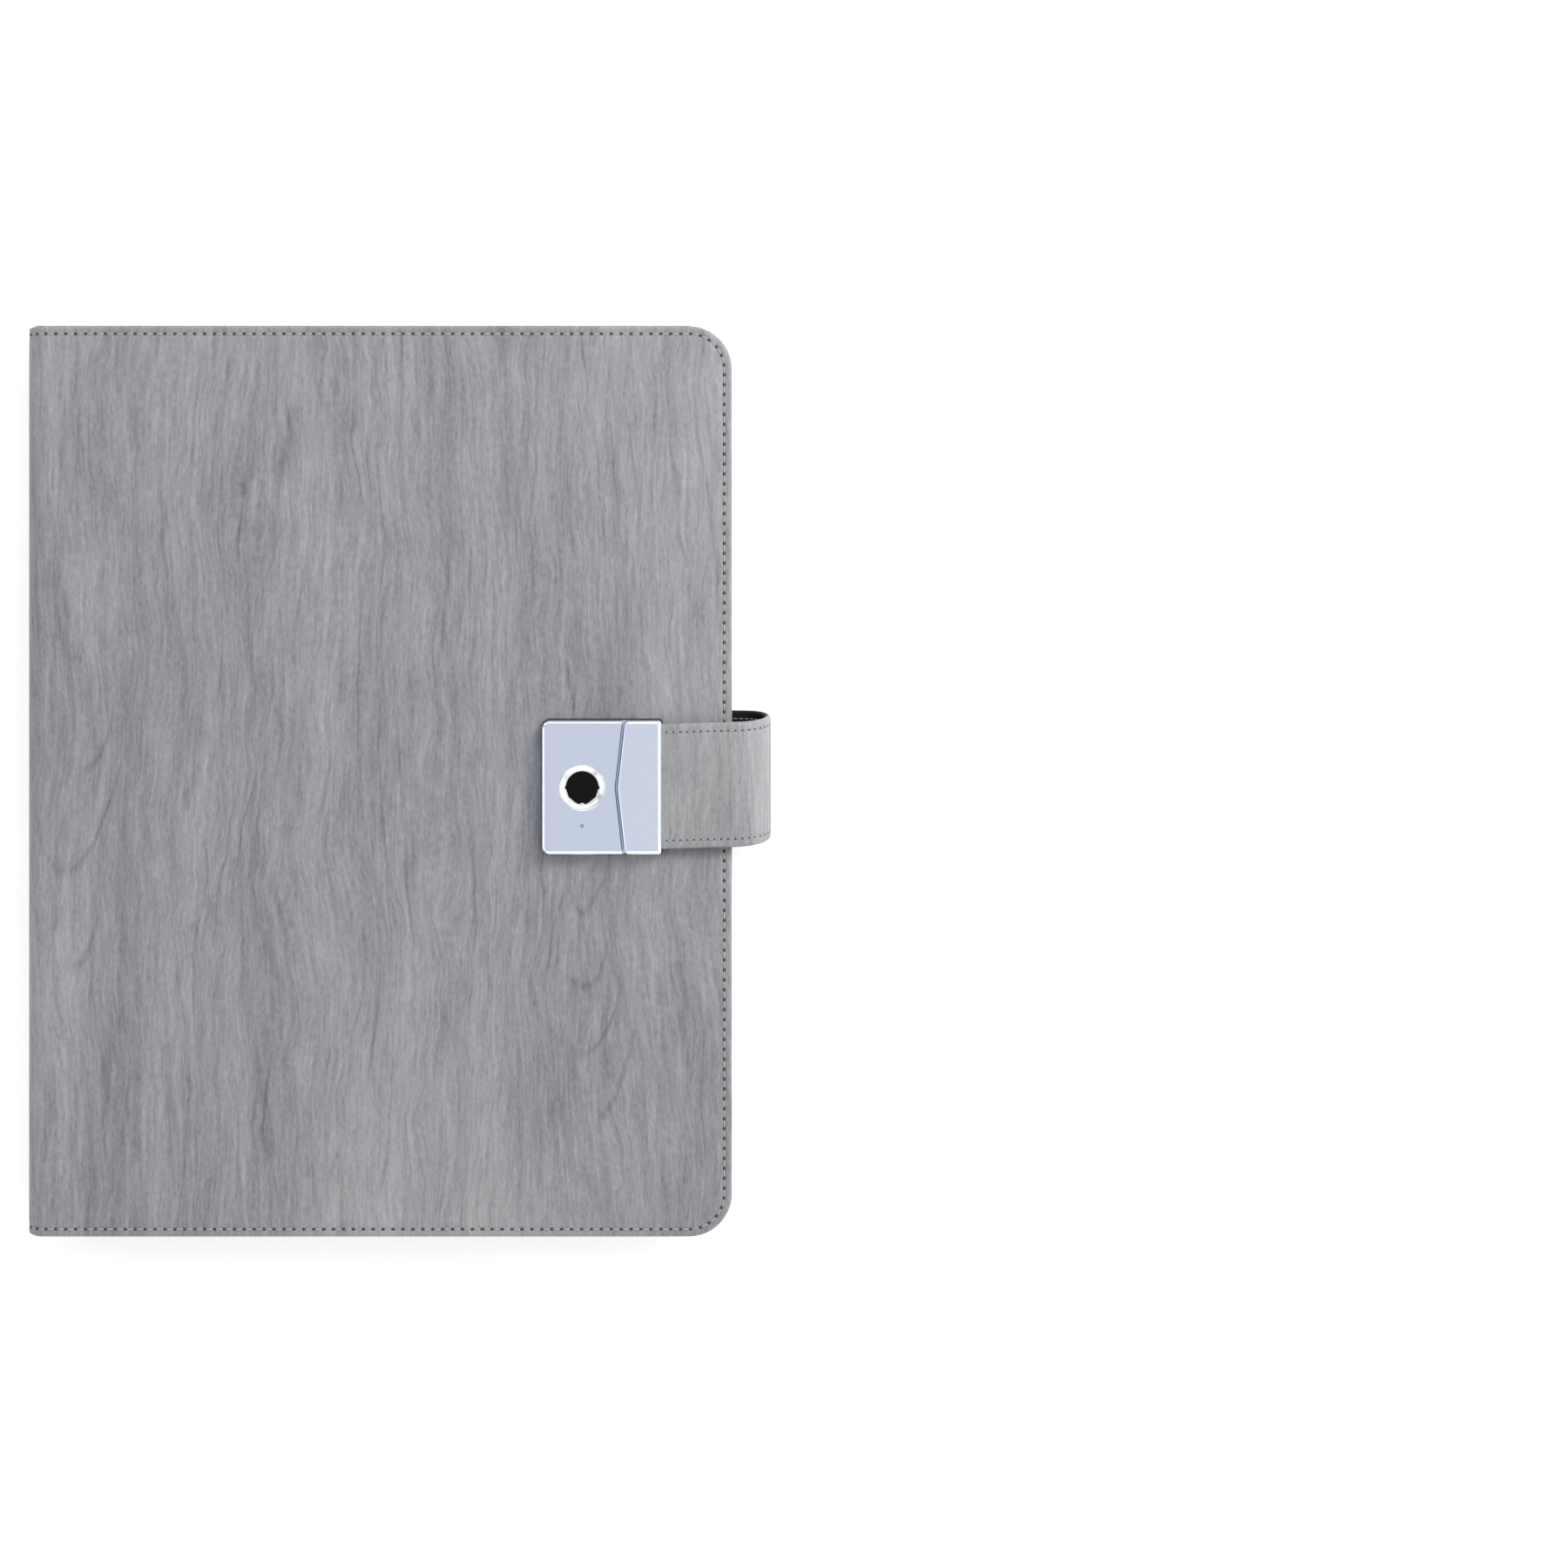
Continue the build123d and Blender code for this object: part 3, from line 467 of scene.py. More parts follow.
def edge_point(t, inset):
    """(s, y) at a distance t along the stitch line and inset from the edge, and the way along."""
    straight = S_END - CORNER
    bend = (CORNER - STITCH_IN) * math.pi / 2
    upright = 2 * (HALF_Y - CORNER)
    if t <= straight:
        return (t, HALF_Y - inset), (1.0, 0.0)
    if t <= straight + bend:
        a = math.pi / 2 - (t - straight) / (CORNER - STITCH_IN)
        r = CORNER - inset
        place = (straight + r * math.cos(a), HALF_Y - CORNER + r * math.sin(a))
        return place, (math.sin(a), -math.cos(a))
    if t <= straight + bend + upright / 2:
        return (S_END - inset, HALF_Y - CORNER - (t - straight - bend)), (0.0, -1.0)
    (s, y), (ds, dy) = edge_point(2 * straight + 2 * bend + upright - t, inset)
    return (s, -y), (-ds, dy)


STITCH_LINE = 2 * (S_END - CORNER) + (CORNER - STITCH_IN) * math.pi + 2 * (HALF_Y - CORNER)
STITCHES = round(STITCH_LINE / PITCH)
STEP = STITCH_LINE / STITCHES
GROOVE = -0.17
ROLL = 1.15
# The sewn border from the face to its rolled edge: inset, height, and dip at a needle hole
BAND_PROFILE = [(BAND, 0.0, 0.0)] + [(STITCH_IN + d, h, dip) for d, h, dip in (
    (2.1, 0.0, 0.0), (1.2, -0.015, 0.0), (0.65, -0.06, 0.13), (0.3, -0.16, 0.14),
    (0.0, -0.22, 0.14), (-0.3, -0.16, 0.14), (-0.7, -0.05, 0.0))]
BAND_PROFILE += [(ROLL - ROLL * math.sin(a), ROLL * math.cos(a) - ROLL, 0.0)
                 for a in np.radians([5, 25, 45, 65, 85])]
BAND_COLUMNS = len(BAND_PROFILE) + 3


def seam_band(side):
    """The sewn border: stitch groove with needle dips, rounded edge and turned rim."""
    count = STITCHES * 4 + 1
    points, flats = [], []
    for i in range(count):
        t = i * STEP / 4
        sink = smooth_step(0.72 + 0.62 * math.cos(2 * math.pi * (t / STEP - 0.5)))
        (s0, _), _ = edge_point(t, 0.0)
        depth = rim_depth(s0)
        profile = [(d, h - dip * sink) for d, h, dip in BAND_PROFILE]
        profile += [(0.0, -0.6 * depth), (0.0, -depth + 0.1), (0.5, -depth)]
        for d, h in profile:
            (s, y), _ = edge_point(t, d)
            points.append((s, y, h))
            (fs, fy), _ = edge_point(t, d + 0.6 * h)
            flats.append((fs * side, fy))
    points = np.array(points)
    shaped = wrapped(points[:, 0], points[:, 1], points[:, 2], side)
    return shaped, grid(count, BAND_COLUMNS, flip=side > 0), np.array(flats), points


# Distance out from the lock's edge and height; the last ring lies below the lock
PRESSED = [(0.3, -0.30), (0.8, -0.26), (1.3, -0.15), (2.0, -0.05), (2.9, 0.0), (-0.6, -0.30)]


def pressed():
    """Rings where the lock presses the front's leather in, as (s, y, h), and their outer loop."""
    rings = []
    for away, h in PRESSED:
        loop = offset_outline(BASE_CORNERS, BASE_RADII, -away)
        rings.append(np.column_stack([loop[:, 0] - SPINE_R + S_FLAT, loop[:, 1],
                                      np.full(len(loop), h)]))
    return np.vstack(rings), rings[-2][:, :2]


def inside(points, loop):
    """Which points lie inside a closed loop."""
    x, y = points[:, 0], points[:, 1]
    within = np.zeros(len(points), bool)
    for (x0, y0), (x1, y1) in zip(loop, np.roll(loop, -1, axis=0)):
        crosses = (y0 > y) != (y1 > y)
        within ^= crosses & (x < x0 + (y - y0) * (x1 - x0) / (y1 - y0 if y1 != y0 else 1.0))
    return within


def face_points(border):
    """Points inside the sewn border: close rows round the bend, a loose grid on the cover."""
    bend = np.unique(np.round(border[border[:, 0] < S_FLAT + 3][:, 0], 6))
    s = np.concatenate([bend, np.arange(bend[-1] + 3.0, S_END - BAND - 1.5, 5.0)])
    y = np.linspace(-HALF_Y + BAND + 2.5, HALF_Y - BAND - 2.5, 45)
    inner = np.column_stack([np.repeat(s, len(y)), np.tile(y, len(s)), np.zeros(len(s) * len(y))])
    away = np.hypot(np.clip(inner[:, 0] - S_END + CORNER, 0, None),
                    np.clip(np.abs(inner[:, 1]) - HALF_Y + CORNER, 0, None))
    return inner[away < CORNER - BAND - 1.2]


def wrap_surface(side):
    """The cover's leather as one surface: the sewn border, and the face filled in between."""
    shaped, faces, flats, pattern = seam_band(side)
    rim = np.arange(0, len(shaped), BAND_COLUMNS)
    filled = [pattern[rim], face_points(pattern[rim][:, :2])]
    if side > 0:
        rings, loop = pressed()
        middle = loop.mean(axis=0)
        filled[1] = filled[1][~inside(filled[1][:, :2], middle + (loop - middle) * 1.04)]
        filled.append(rings)
    filled = np.vstack(filled)
    edges = [(i, (i + 1) % len(rim)) for i in range(len(rim))]
    found = geometry.delaunay_2d_cdt([tuple(p) for p in filled[:, :2]], edges, [], 1, 1e-6)
    place = {i: originals[0] for i, originals in enumerate(found[3]) if originals}
    start = len(shaped)
    new = filled[len(rim):]
    points = np.vstack([shaped, wrapped(new[:, 0], new[:, 1], new[:, 2], side)])
    flats = np.vstack([flats, np.column_stack([new[:, 0] * side, new[:, 1]])])
    for face in found[2]:
        ring = [place[i] for i in face]
        ring = [int(rim[i]) if i < len(rim) else start + i - len(rim) for i in ring]
        faces.append(tuple(ring if side > 0 else reversed(ring)))
    return points, faces, flats


# A sewing thread: distance along it, and how it rises from one needle hole to the next
THREAD_ALONG = np.array([-1.28, -0.98, -0.5, 0.0, 0.5, 0.98, 1.28])
THREAD_RISE = np.array([-0.30, -0.06, 0.05, 0.08, 0.05, -0.06, -0.30])


def cover_stitches(side):
    """Threads between the needle holes, and the holes as dark discs of painted shade."""
    threads, holes = [], []
    count = 10
    fan = [(0, 1 + k, 1 + (k + 1) % count) for k in range(count)]
    for i in range(STITCHES):
        if i < STITCHES - 1:
            rows, across, up = [], [], []
            for along, rise in zip(THREAD_ALONG, THREAD_RISE):
                (s, y), (ds, dy) = edge_point((i + 1.0) * STEP + along, STITCH_IN)
                at = wrapped(s, y, rise + GROOVE, side)
                rows.append(at)
                up.append(wrapped(s, y, rise + GROOVE + 1.0, side) - at)
                beside = wrapped(s - dy * 0.1, y + ds * 0.1, rise + GROOVE, side)
                across.append((beside - at) * 10)
            threads.append(tube(rows, across, up, 0.30, 0.20))
        (s, y), (ds, dy) = edge_point((i + 0.5) * STEP, STITCH_IN)
        ring = [(s, y, GROOVE - 0.06)]
        for k in range(count):
            a = 2 * math.pi * k / count
            along, over = 0.72 * math.cos(a), 0.54 * math.sin(a)
            ring.append((s + ds * along - dy * over, y + dy * along + ds * over, GROOVE))
        ring = np.array(ring)
        holes.append((wrapped(ring[:, 0], ring[:, 1], ring[:, 2], side), fan))
    return threads, holes


def over_crease(obj):
    """Bakes the placement of a piece of the wrap into its mesh."""
    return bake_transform(obj)


SIDES = ((1, "front"), (-1, "back"))
for side, word in SIDES:
    cover_nodes = [word + "_cover_leather", word + "_crease"]
    if side > 0:
        cover_nodes.append("spine_leather")
    wrap = make(word + "_wrap", wrap_surface(side), LEATHER)
    over_crease(wrap)
    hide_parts(*cover_nodes)
    for parts, kind, material in zip(cover_stitches(side), ("thread", "holes"), (THREAD, HOLE_SHADE)):
        sewing = make(word + "_seam_" + kind, join(parts, turn=side < 0), material)
        over_crease(sewing)


def crease_lining(side):
    """Lining cloth inside the bend, from the spine's lining to the cover's."""
    s = np.concatenate([np.linspace(0, SPINE_HALF - 1.0, 6)[:-1],
                        np.linspace(SPINE_HALF - 1.0, S_FLAT + 1.0, 22)])
    bend = np.sin(np.clip((s - SPINE_HALF) / ARC, 0, 1) * math.pi) ** 0.6
    deep = LINING_DEEP - 2.3 * bend
    y = np.linspace(-HALF_Y - 0.35, HALF_Y + 0.35, 21)
    ss, yy, deep = np.repeat(s, len(y)), np.tile(y, len(s)), np.repeat(deep, len(y))
    inner = wrapped(ss, yy, -deep, side)
    outer = wrapped(ss, yy, -np.minimum(deep - 0.3, 3.4), side)
    return join([(inner, grid(len(s), len(y), flip=side < 0)),
                 (outer, grid(len(s), len(y), flip=side > 0))])


for side, word in SIDES:
    bend_lining = make(word + "_crease_lining", crease_lining(side), LINING)
    over_crease(bend_lining)
    if side > 0:
        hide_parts("spine_lining")


# Inside: linings and their seam

def row_threads(path, out, pitch):
    """Sewing threads end to end along a path, standing out of the surface it lies on."""
    path = np.asarray(path, float)
    out = np.asarray(out, float)
    steps = np.linalg.norm(np.diff(path, axis=0), axis=1)
    along = np.concatenate([[0], np.cumsum(steps)])
    count = max(1, int(along[-1] / pitch))
    step = along[-1] / count
    threads = []
    for i in range(count):
        spots = (i + 0.5) * step + THREAD_ALONG * (step / PITCH)
        rows = np.column_stack([np.interp(spots, along, path[:, k]) for k in range(3)])
        rows = rows + out * THREAD_RISE[:, None]
        ahead = rows[-1] - rows[0]
        across = np.cross(out, ahead / np.linalg.norm(ahead))
        threads.append(tube(list(rows), [across] * len(rows), [out] * len(rows), 0.26, 0.18))
    return threads


INNER_FACE = {1: THICK - LINING_DEEP, -1: LINING_DEEP}
for side, word in SIDES:
    z, out = INNER_FACE[side], -side
    half = HALF_Y + 0.4
    corners = [(SPINE_R, -half), (FAR_X, -half), (FAR_X, half), (SPINE_R, half)]
    levels = [(0.0, z - out * 0.95), (0.0, z - out * 0.3), (0.1, z - out * 0.1), (0.35, z)]
    *edge, loop = levels_of(corners, [0.2, CORNER, CORNER, 0.2], levels, flip=out < 0)
    lining = make(word + "_lining_cloth", join([edge, cap(loop, [], z, up=out > 0)]), LINING,
                  body=word + "_cover")
    lining.data.set_sharp_from_angle(angle=0.6)
    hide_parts(word + "_cover_lining")
    route = [edge_point(t, STITCH_IN)[0]
             for t in np.arange(S_FLAT + 2, STITCH_LINE - S_FLAT - 2, 1.0)]
    route = [(s - S_FLAT + SPINE_R, y, z) for s, y in route]
    make(word + "_lining_thread", join(row_threads(route, (0, 0, out), PITCH)), INNER_THREAD,
         body=word + "_cover")


# Inside: pockets on the front cover

def rounded(d, radius=0.45):
    """Share of full thickness at a distance from a rounded edge."""
    t = np.clip(1 - np.asarray(d, float) / radius, 0, 1)
    return np.sqrt(1 - t * t)


POCKET_PITCH = 2.8
EDGE_SEAM, HEM_SEAM = 3.0, 1.6
EDGE_STEPS = np.array([0, 0.05, 0.15, 0.3, 0.45, 1.4, 2.3, 2.7, 3.0, 3.3, 3.8, 5.5, 8.0, 11.0])
NOTCH_HALF, NOTCH_REACH, NOTCH_FADE = 13.0, 45.0, 40.0


def notch_dip(x, y, x0, x1, y1, notch):
    """How far a thumb notch in the middle of a pocket's mouth moves its leather down."""
    across = np.exp(-((x - (x0 + x1) / 2) / NOTCH_HALF) ** 4)
    return notch * across * smooth_step((y - y1 + NOTCH_REACH) / NOTCH_FADE)


def pocket(x0, x1, y0, y1, under, thick, hem, notch, sewn_foot=True):
    """A pocket's leather under the cover: sewn edges, puffed middle and a hem at its mouth."""
    mouth_steps = np.array([0, 0.05, 0.15, 0.3, 0.45, hem * 0.5, hem - 1.9, hem - HEM_SEAM,
                            hem - 1.3, hem - 0.4, hem, hem + 0.4])
    x = np.unique(np.concatenate([x0 + EDGE_STEPS, x1 - EDGE_STEPS,
                                  np.linspace(x0 + 11, x1 - 11, 25)]))
    low = EDGE_STEPS if sewn_foot else np.array([0.0, 1.0])
    y = np.unique(np.concatenate([y0 + low, y1 - mouth_steps,
                                  np.linspace(y0 + low[-1], y1 - hem - 3, 14)]))
    xx, yy = np.repeat(x, len(y)), np.tile(y, len(x))
    edge = np.minimum(xx - x0, x1 - xx)
    if sewn_foot:
        edge = np.minimum(edge, yy - y0)
    mouth = y1 - yy
    height = thick * (0.72 + 0.28 * smooth_step((edge - 3.6) / 9.0))
    height -= 0.16 * np.exp(-((edge - EDGE_SEAM) / 0.4) ** 2)
    height -= 0.13 * np.exp(-((mouth - hem + HEM_SEAM) / 0.4) ** 2)
    height += 0.18 * smooth_step((hem + 0.4 - mouth) / 0.8)
    height = (under + height * rounded(mouth)) * rounded(edge)
    points = np.column_stack([xx, yy - notch_dip(xx, yy, x0, x1, y1, notch),
                              INNER_FACE[1] - height])
    return points, grid(len(x), len(y))


x0, x1, y0, y1 = 54.0, 174.0, -152.0, -24.0
hem, notch = 9.0, 8.0
holder = make("document_pocket_leather", pocket(x0, x1, y0, y1, 0.0, 1.22, hem, notch),
              DARK_LEATHER, body="front_cover")
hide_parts("document_pocket")
z = INNER_FACE[1] - 0.72
left, right, foot = x0 + EDGE_SEAM, x1 - EDGE_SEAM, y0 + EDGE_SEAM
seam = [(left, y1 - 0.8, z), (left, foot, z), (right, foot, z), (right, y1 - 0.8, z)]
across = np.linspace(x0 + 1.2, x1 - 1.2, 60)
hem_y = y1 - hem + HEM_SEAM
hem_y = hem_y - notch_dip(across, hem_y, x0, x1, y1, notch)
hem_seam = np.column_stack([across, hem_y, np.full(len(across), INNER_FACE[1] - 1.20)])
rows = row_threads(seam, DOWN, POCKET_PITCH) + row_threads(hem_seam, DOWN, POCKET_PITCH)
make("document_pocket_thread", join(rows), INNER_THREAD, body="front_cover")

# Three card pockets, each one layer lower and 16 mm below the last
x0, x1, foot, mouth = 59.0, 163.0, 47.0, 141.0
card_step, layer_step, hem = 16.0, 0.56, 5.0
layers, rows = [], []
for i in range(3):
    last = i == 2
    y1 = mouth - i * card_step
    y0 = foot if last else y1 - card_step - 5.0
    layers.append(pocket(x0, x1, y0, y1, layer_step * i, 0.52, hem, 0.0, sewn_foot=last))
    z = INNER_FACE[1] - layer_step * i - 0.36
    low = foot + EDGE_SEAM if last else y1 - card_step
    for x in (x0 + EDGE_SEAM, x1 - EDGE_SEAM):
        rows += row_threads([(x, low, z), (x, y1 - 0.8, z)], DOWN, POCKET_PITCH)
    hem_y = y1 - hem + HEM_SEAM
    rows += row_threads([(x0 + 1.2, hem_y, z - 0.18), (x1 - 1.2, hem_y, z - 0.18)], DOWN,
                        POCKET_PITCH)
rows += row_threads([(x0 + EDGE_SEAM, foot + EDGE_SEAM, z), (x1 - EDGE_SEAM, foot + EDGE_SEAM, z)],
                    DOWN, POCKET_PITCH)
cards = make("card_pocket_leather", join(layers), DARK_LEATHER,
             body="front_cover")
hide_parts("card_pockets")
make("card_pocket_thread", join(rows), INNER_THREAD, body="front_cover")


# Inside: pen loop and rings

PEN_X, PEN_Y0, PEN_Y1 = 239.0, 50.0, 110.0
PEN_BORE, PEN_OUTER, PEN_HEIGHT = 6.0, 6.95, 7.0
PEN_RIB = 1.5
PEN_FOOT = [(9.0, 0.5), (8.8, 0.85), (6.6, 0.9), (5.0, 1.05)]


def pen_band():
    """Ribbed elastic round the pen, closed on its sewn foot."""
    z0 = INNER_FACE[-1]
    round_top = [(PEN_OUTER * math.cos(a), PEN_HEIGHT + PEN_OUTER * math.sin(a))
                 for a in np.radians(np.linspace(-52, 232, 41))]
    profile = [(8.95, 0.0), *PEN_FOOT, *round_top,
               *((-x, z) for x, z in reversed(PEN_FOOT)), (-8.95, 0.0)]
    bore = circle(0.0, PEN_HEIGHT, PEN_BORE, 36)
    y = np.linspace(PEN_Y0, PEN_Y1, 241)
    rib = 0.09 * np.abs(np.sin((y - PEN_Y0) * math.pi / PEN_RIB)) - 0.09
    ends = rounded(np.minimum(y - PEN_Y0, PEN_Y1 - y), 0.6)
    outer = []
    for yy, rise, end in zip(y, rib, ends):
        lift = rise - 0.35 * (1 - end)
        outer += [(PEN_X + px, yy, z0 + pz + lift * (1 if pz > 1 else 0.4) * (pz > 0))
                  for px, pz in profile]
    parts = [(outer, grid(len(y), len(profile), flip=True)),
             ([(PEN_X + px, yy, z0 + pz) for yy in (y[0], y[-1]) for px, pz in bore],
              grid(2, len(bore), closed=True))]
    section = [(PEN_X + px, z0 + pz) for px, pz in profile]
    hole = [(PEN_X + px, z0 + pz) for px, pz in bore]
    for yy, up in ((y[0], True), (y[-1], False)):
        points, faces = cap(section, [hole], 0.0, up=up)
        parts.append(([(x, yy, z) for x, z, _ in points], faces))
    return join(parts)


pen = make("pen_loop_elastic", pen_band(), ELASTIC, body="back_cover")
pen.data.set_sharp_from_angle(angle=0.9)
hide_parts("pen_loop")
rows = []
for x in (PEN_X - 7.6, PEN_X + 7.6):
    rows += row_threads([(x, PEN_Y0 + 1.5, 5.25), (x, PEN_Y1 - 1.5, 5.25)], UP, 2.6)
make("pen_loop_thread", join(rows), INNER_THREAD, body="back_cover")

RING_X, RING_Z, RING_R, RING_PITCH, RING_COUNT = 32.0, 12.6, 8.2, 80.0, 4
WIRE, WIRE_SIDES = 1.2, 16
# Each half ring's angles, closer at its rounded tip, and its wire's radius there
RING_ANGLES = np.radians([*np.linspace(-53, 87.6, 44), 88.2, 88.7, 88.95])
RING_WIRE = [WIRE] * 44 + [WIRE * 0.97, WIRE * 0.85, WIRE * 0.6]
for hand, word in ((1, "right"), (-1, "left")):
    wires = []
    for k in range(RING_COUNT):
        y = (k - (RING_COUNT - 1) / 2) * RING_PITCH
        wire_points = []
        for a, radius in zip(RING_ANGLES, RING_WIRE):
            for over, beside in circle(RING_R, y, radius, WIRE_SIDES):
                wire_points.append((RING_X + hand * over * math.cos(a), beside,
                                    RING_Z + over * math.sin(a)))
        wire_faces = grid(len(RING_ANGLES), WIRE_SIDES, closed=True, flip=hand < 0)
        tip = range(len(wire_points) - WIRE_SIDES, len(wire_points))
        wire_faces.append(tuple(tip if hand > 0 else reversed(tip)))
        wires.append((wire_points, wire_faces))
    halves = make("rings_%s_wire" % word, join(wires), NICKEL,
                  body="ring_" + word)
    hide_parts("ring_halves_" + word)


# Strap: a closed section carried round the fore-edge, cut where the bends are widest

STRAP_X, STRAP_MID, STRAP_Z = 248.5, 14.45, 20.1
ROOT_X, TONGUE_X = 222.0, 212.5
STRAP_LOOP = STRAP_MID * math.pi
ROOT_END = STRAP_X - ROOT_X
LOOP_END = ROOT_END + STRAP_LOOP
STRAP_END = LOOP_END + (STRAP_X - TONGUE_X)
HALF_STRAP, STRAP_HALF_T, STRAP_SEAM = 22.0, 1.25, 3.0
STRAP_PITCH = 2.4
STRAP_FLAT = 330.0    # where the strap's leather lies on the flat pattern


def strap_place(q):
    """Middle of the strap at a distance q from its root: (x, z), its outward side and its lean."""
    front_part = float(smooth_step((q - LOOP_END + 6) / 40))
    loop_part = float(smooth_step((q - ROOT_END - STRAP_LOOP * 0.2) / (STRAP_LOOP * 0.75)))
    lean = 2.4 - 3.15 * loop_part - 0.85 * front_part
    if q <= ROOT_END:
        return (ROOT_X + q, STRAP_Z - STRAP_MID), (0.0, -1.0), lean
    if q <= LOOP_END:
        a = (q - ROOT_END) / STRAP_MID - math.pi / 2
        out = (math.cos(a), math.sin(a))
        return (STRAP_X + STRAP_MID * out[0], STRAP_Z + STRAP_MID * out[1]), out, lean
    return (STRAP_X - (q - LOOP_END), STRAP_Z + STRAP_MID), (0.0, 1.0), lean


def strap_point(q, y, h):
    """A point of the strap at y across it and h out from its middle."""
    (x, z), (ox, oz), lean = strap_place(q)
    return x + ox * h, y + lean, z + oz * h


# Half of the strap's outer section as (y, h): a shallow seam and a rounded edge
STRAP_HALF = [(0.0, STRAP_HALF_T), (9.0, STRAP_HALF_T), (17.0, 1.23), (18.2, 1.17),
              (HALF_STRAP - STRAP_SEAM, 1.03), (19.7, 1.13), (20.5, 1.15), (21.15, 1.06),
              (21.6, 0.85), (21.88, 0.5), (HALF_STRAP, 0.0)]
STRAP_OUTER = [(-y, h) for y, h in reversed(STRAP_HALF[1:])] + STRAP_HALF


def strap_piece(q0, q1, outward):
    """A length of the strap's outer side (1) or inner side (-1)."""
    section = [(y * outward, h * outward) for y, h in STRAP_OUTER]
    count = max(3, int(q1 - q0) + 1)
    points, flats = [], []
    for q in np.linspace(q0, q1, count):
        points += [strap_point(q, y, h) for y, h in section]
        flats += [(STRAP_FLAT + q, y) for y, _ in section]
    faces = grid(count, len(section))
    if outward < 0 and q0 == 0:
        faces.append(tuple(reversed(range(len(section)))))
    return np.array(points), faces, np.array(flats)


def strap_hole(q, y, outward):
    """A needle hole as a fan round its middle, dark with painted shade."""
    h = outward * 1.10
    ring = []
    for k in range(8):
        a = 2 * math.pi * k / 8
        ring.append(strap_point(q + 0.43 * math.cos(a), y + 0.35 * math.sin(a), h))
    ring.append(strap_point(q, y, h))
    return np.array(ring), [(8, k, (k + 1) % 8) for k in range(8)]


def strap_thread(q, y, outward):
    rows, up = [], []
    for along, rise in zip(THREAD_ALONG * 0.7, THREAD_RISE):
        rows.append(np.array(strap_point(q + along, y, outward * (1.07 + rise))))
        _, (ox, oz), _ = strap_place(q + along)
        up.append(np.array((ox, 0, oz)) * outward)
    return tube(rows, [np.array((0.0, 1.0, 0.0))] * len(rows), up, 0.26, 0.17)


def strap_stitches(q0, q1, outward):
    """Threads and holes of both rows on one side of the strap."""
    threads, holes = [], []
    for row in (-1, 1):
        y = row * (HALF_STRAP - STRAP_SEAM)
        for i in range(math.ceil(q0 / STRAP_PITCH), math.floor(q1 / STRAP_PITCH) + 1):
            hole, middle = i * STRAP_PITCH, (i + 0.5) * STRAP_PITCH
            if q0 <= hole < q1:
                holes.append(strap_hole(hole, y, outward))
            if q0 <= middle < q1:
                threads.append(strap_thread(middle, y, outward))
    return threads, holes


QUARTER = STRAP_LOOP / 4
LOOP_TOP = ROOT_END + 2 * QUARTER
# Each length: its ends, the bodies it joins, where its bend starts and ends, what it replaces
STRAP_CUTS = [
    ("lower", 0.0, ROOT_END + QUARTER, "back_cover", "strap_lower",
     ROOT_END - 2.0, ROOT_END + 11.0, ["strap_root"]),
    ("middle", ROOT_END + QUARTER, ROOT_END + 3 * QUARTER, "strap_lower", "strap_upper",
     LOOP_TOP - 11, LOOP_TOP + 11, ["strap_lower_bend", "strap_upper_bend"]),
    ("upper", ROOT_END + 3 * QUARTER, STRAP_END, "strap_upper", "strap_tongue",
     LOOP_END - 11, LOOP_END + 20, ["strap_front"])]
STRAP_COVERED = 11.0    # length of the front run below the tongue, where no outer seam shows

root_top = STRAP_Z - STRAP_MID + STRAP_HALF_T
box = [(ROOT_X + x, y + 2.5, root_top) for x, y in ((3, -19), (3, 19), (20, 19), (20, -19))]
rows = []
for a, b in ((0, 1), (2, 3), (0, 2), (1, 3)):
    rows += row_threads([box[a], box[b]], UP, STRAP_PITCH)
make("strap_root_thread", join(rows), STRAP_THREAD, body="back_cover")
for word, q0, q1, a, b, bend0, bend1, hidden in STRAP_CUTS:
    for q in (bend0, bend1):
        (x, z), _, _ = strap_place(q)
    pieces = []
    for outward, kind, material in ((1, "face", STRAP_LEATHER), (-1, "lining", STRAP_LINING)):
        pieces.append(make("strap_%s_%s" % (word, kind), strap_piece(q0, q1, outward), material))
    for outward, side_word in ((1, "outer"), (-1, "inner")):
        covered = STRAP_COVERED if outward > 0 and word == "upper" else 0.0
        sewing = strap_stitches(q0, q1 - covered, outward)
        for parts, kind, material in zip(sewing, ("thread", "holes"), (STRAP_THREAD, HOLE_SHADE)):
            pieces.append(make("strap_%s_%s_%s" % (word, side_word, kind),
                               join(parts, turn=outward > 0), material))
    for piece in pieces:
        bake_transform(piece)
    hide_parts(*hidden)


# Lock and tongue: plates with rolled bevels, drawn from their outlines

# A rolled bevel as inset and drop below the face
BEVEL = [(0.0, -1.25), (0.06, -0.98), (0.22, -0.74), (0.50, -0.46), (0.80, -0.20), (1.02, -0.06),
         (1.25, 0.0)]


def plate(corners, radii, z0, top, slide):
    """Wall and rolled bevel of a plate, and the loop round its face."""
    levels = [(0.0, z0)] + [(inset, top + drop) for inset, drop in BEVEL]
    return levels_of(corners, radii, levels, slide)


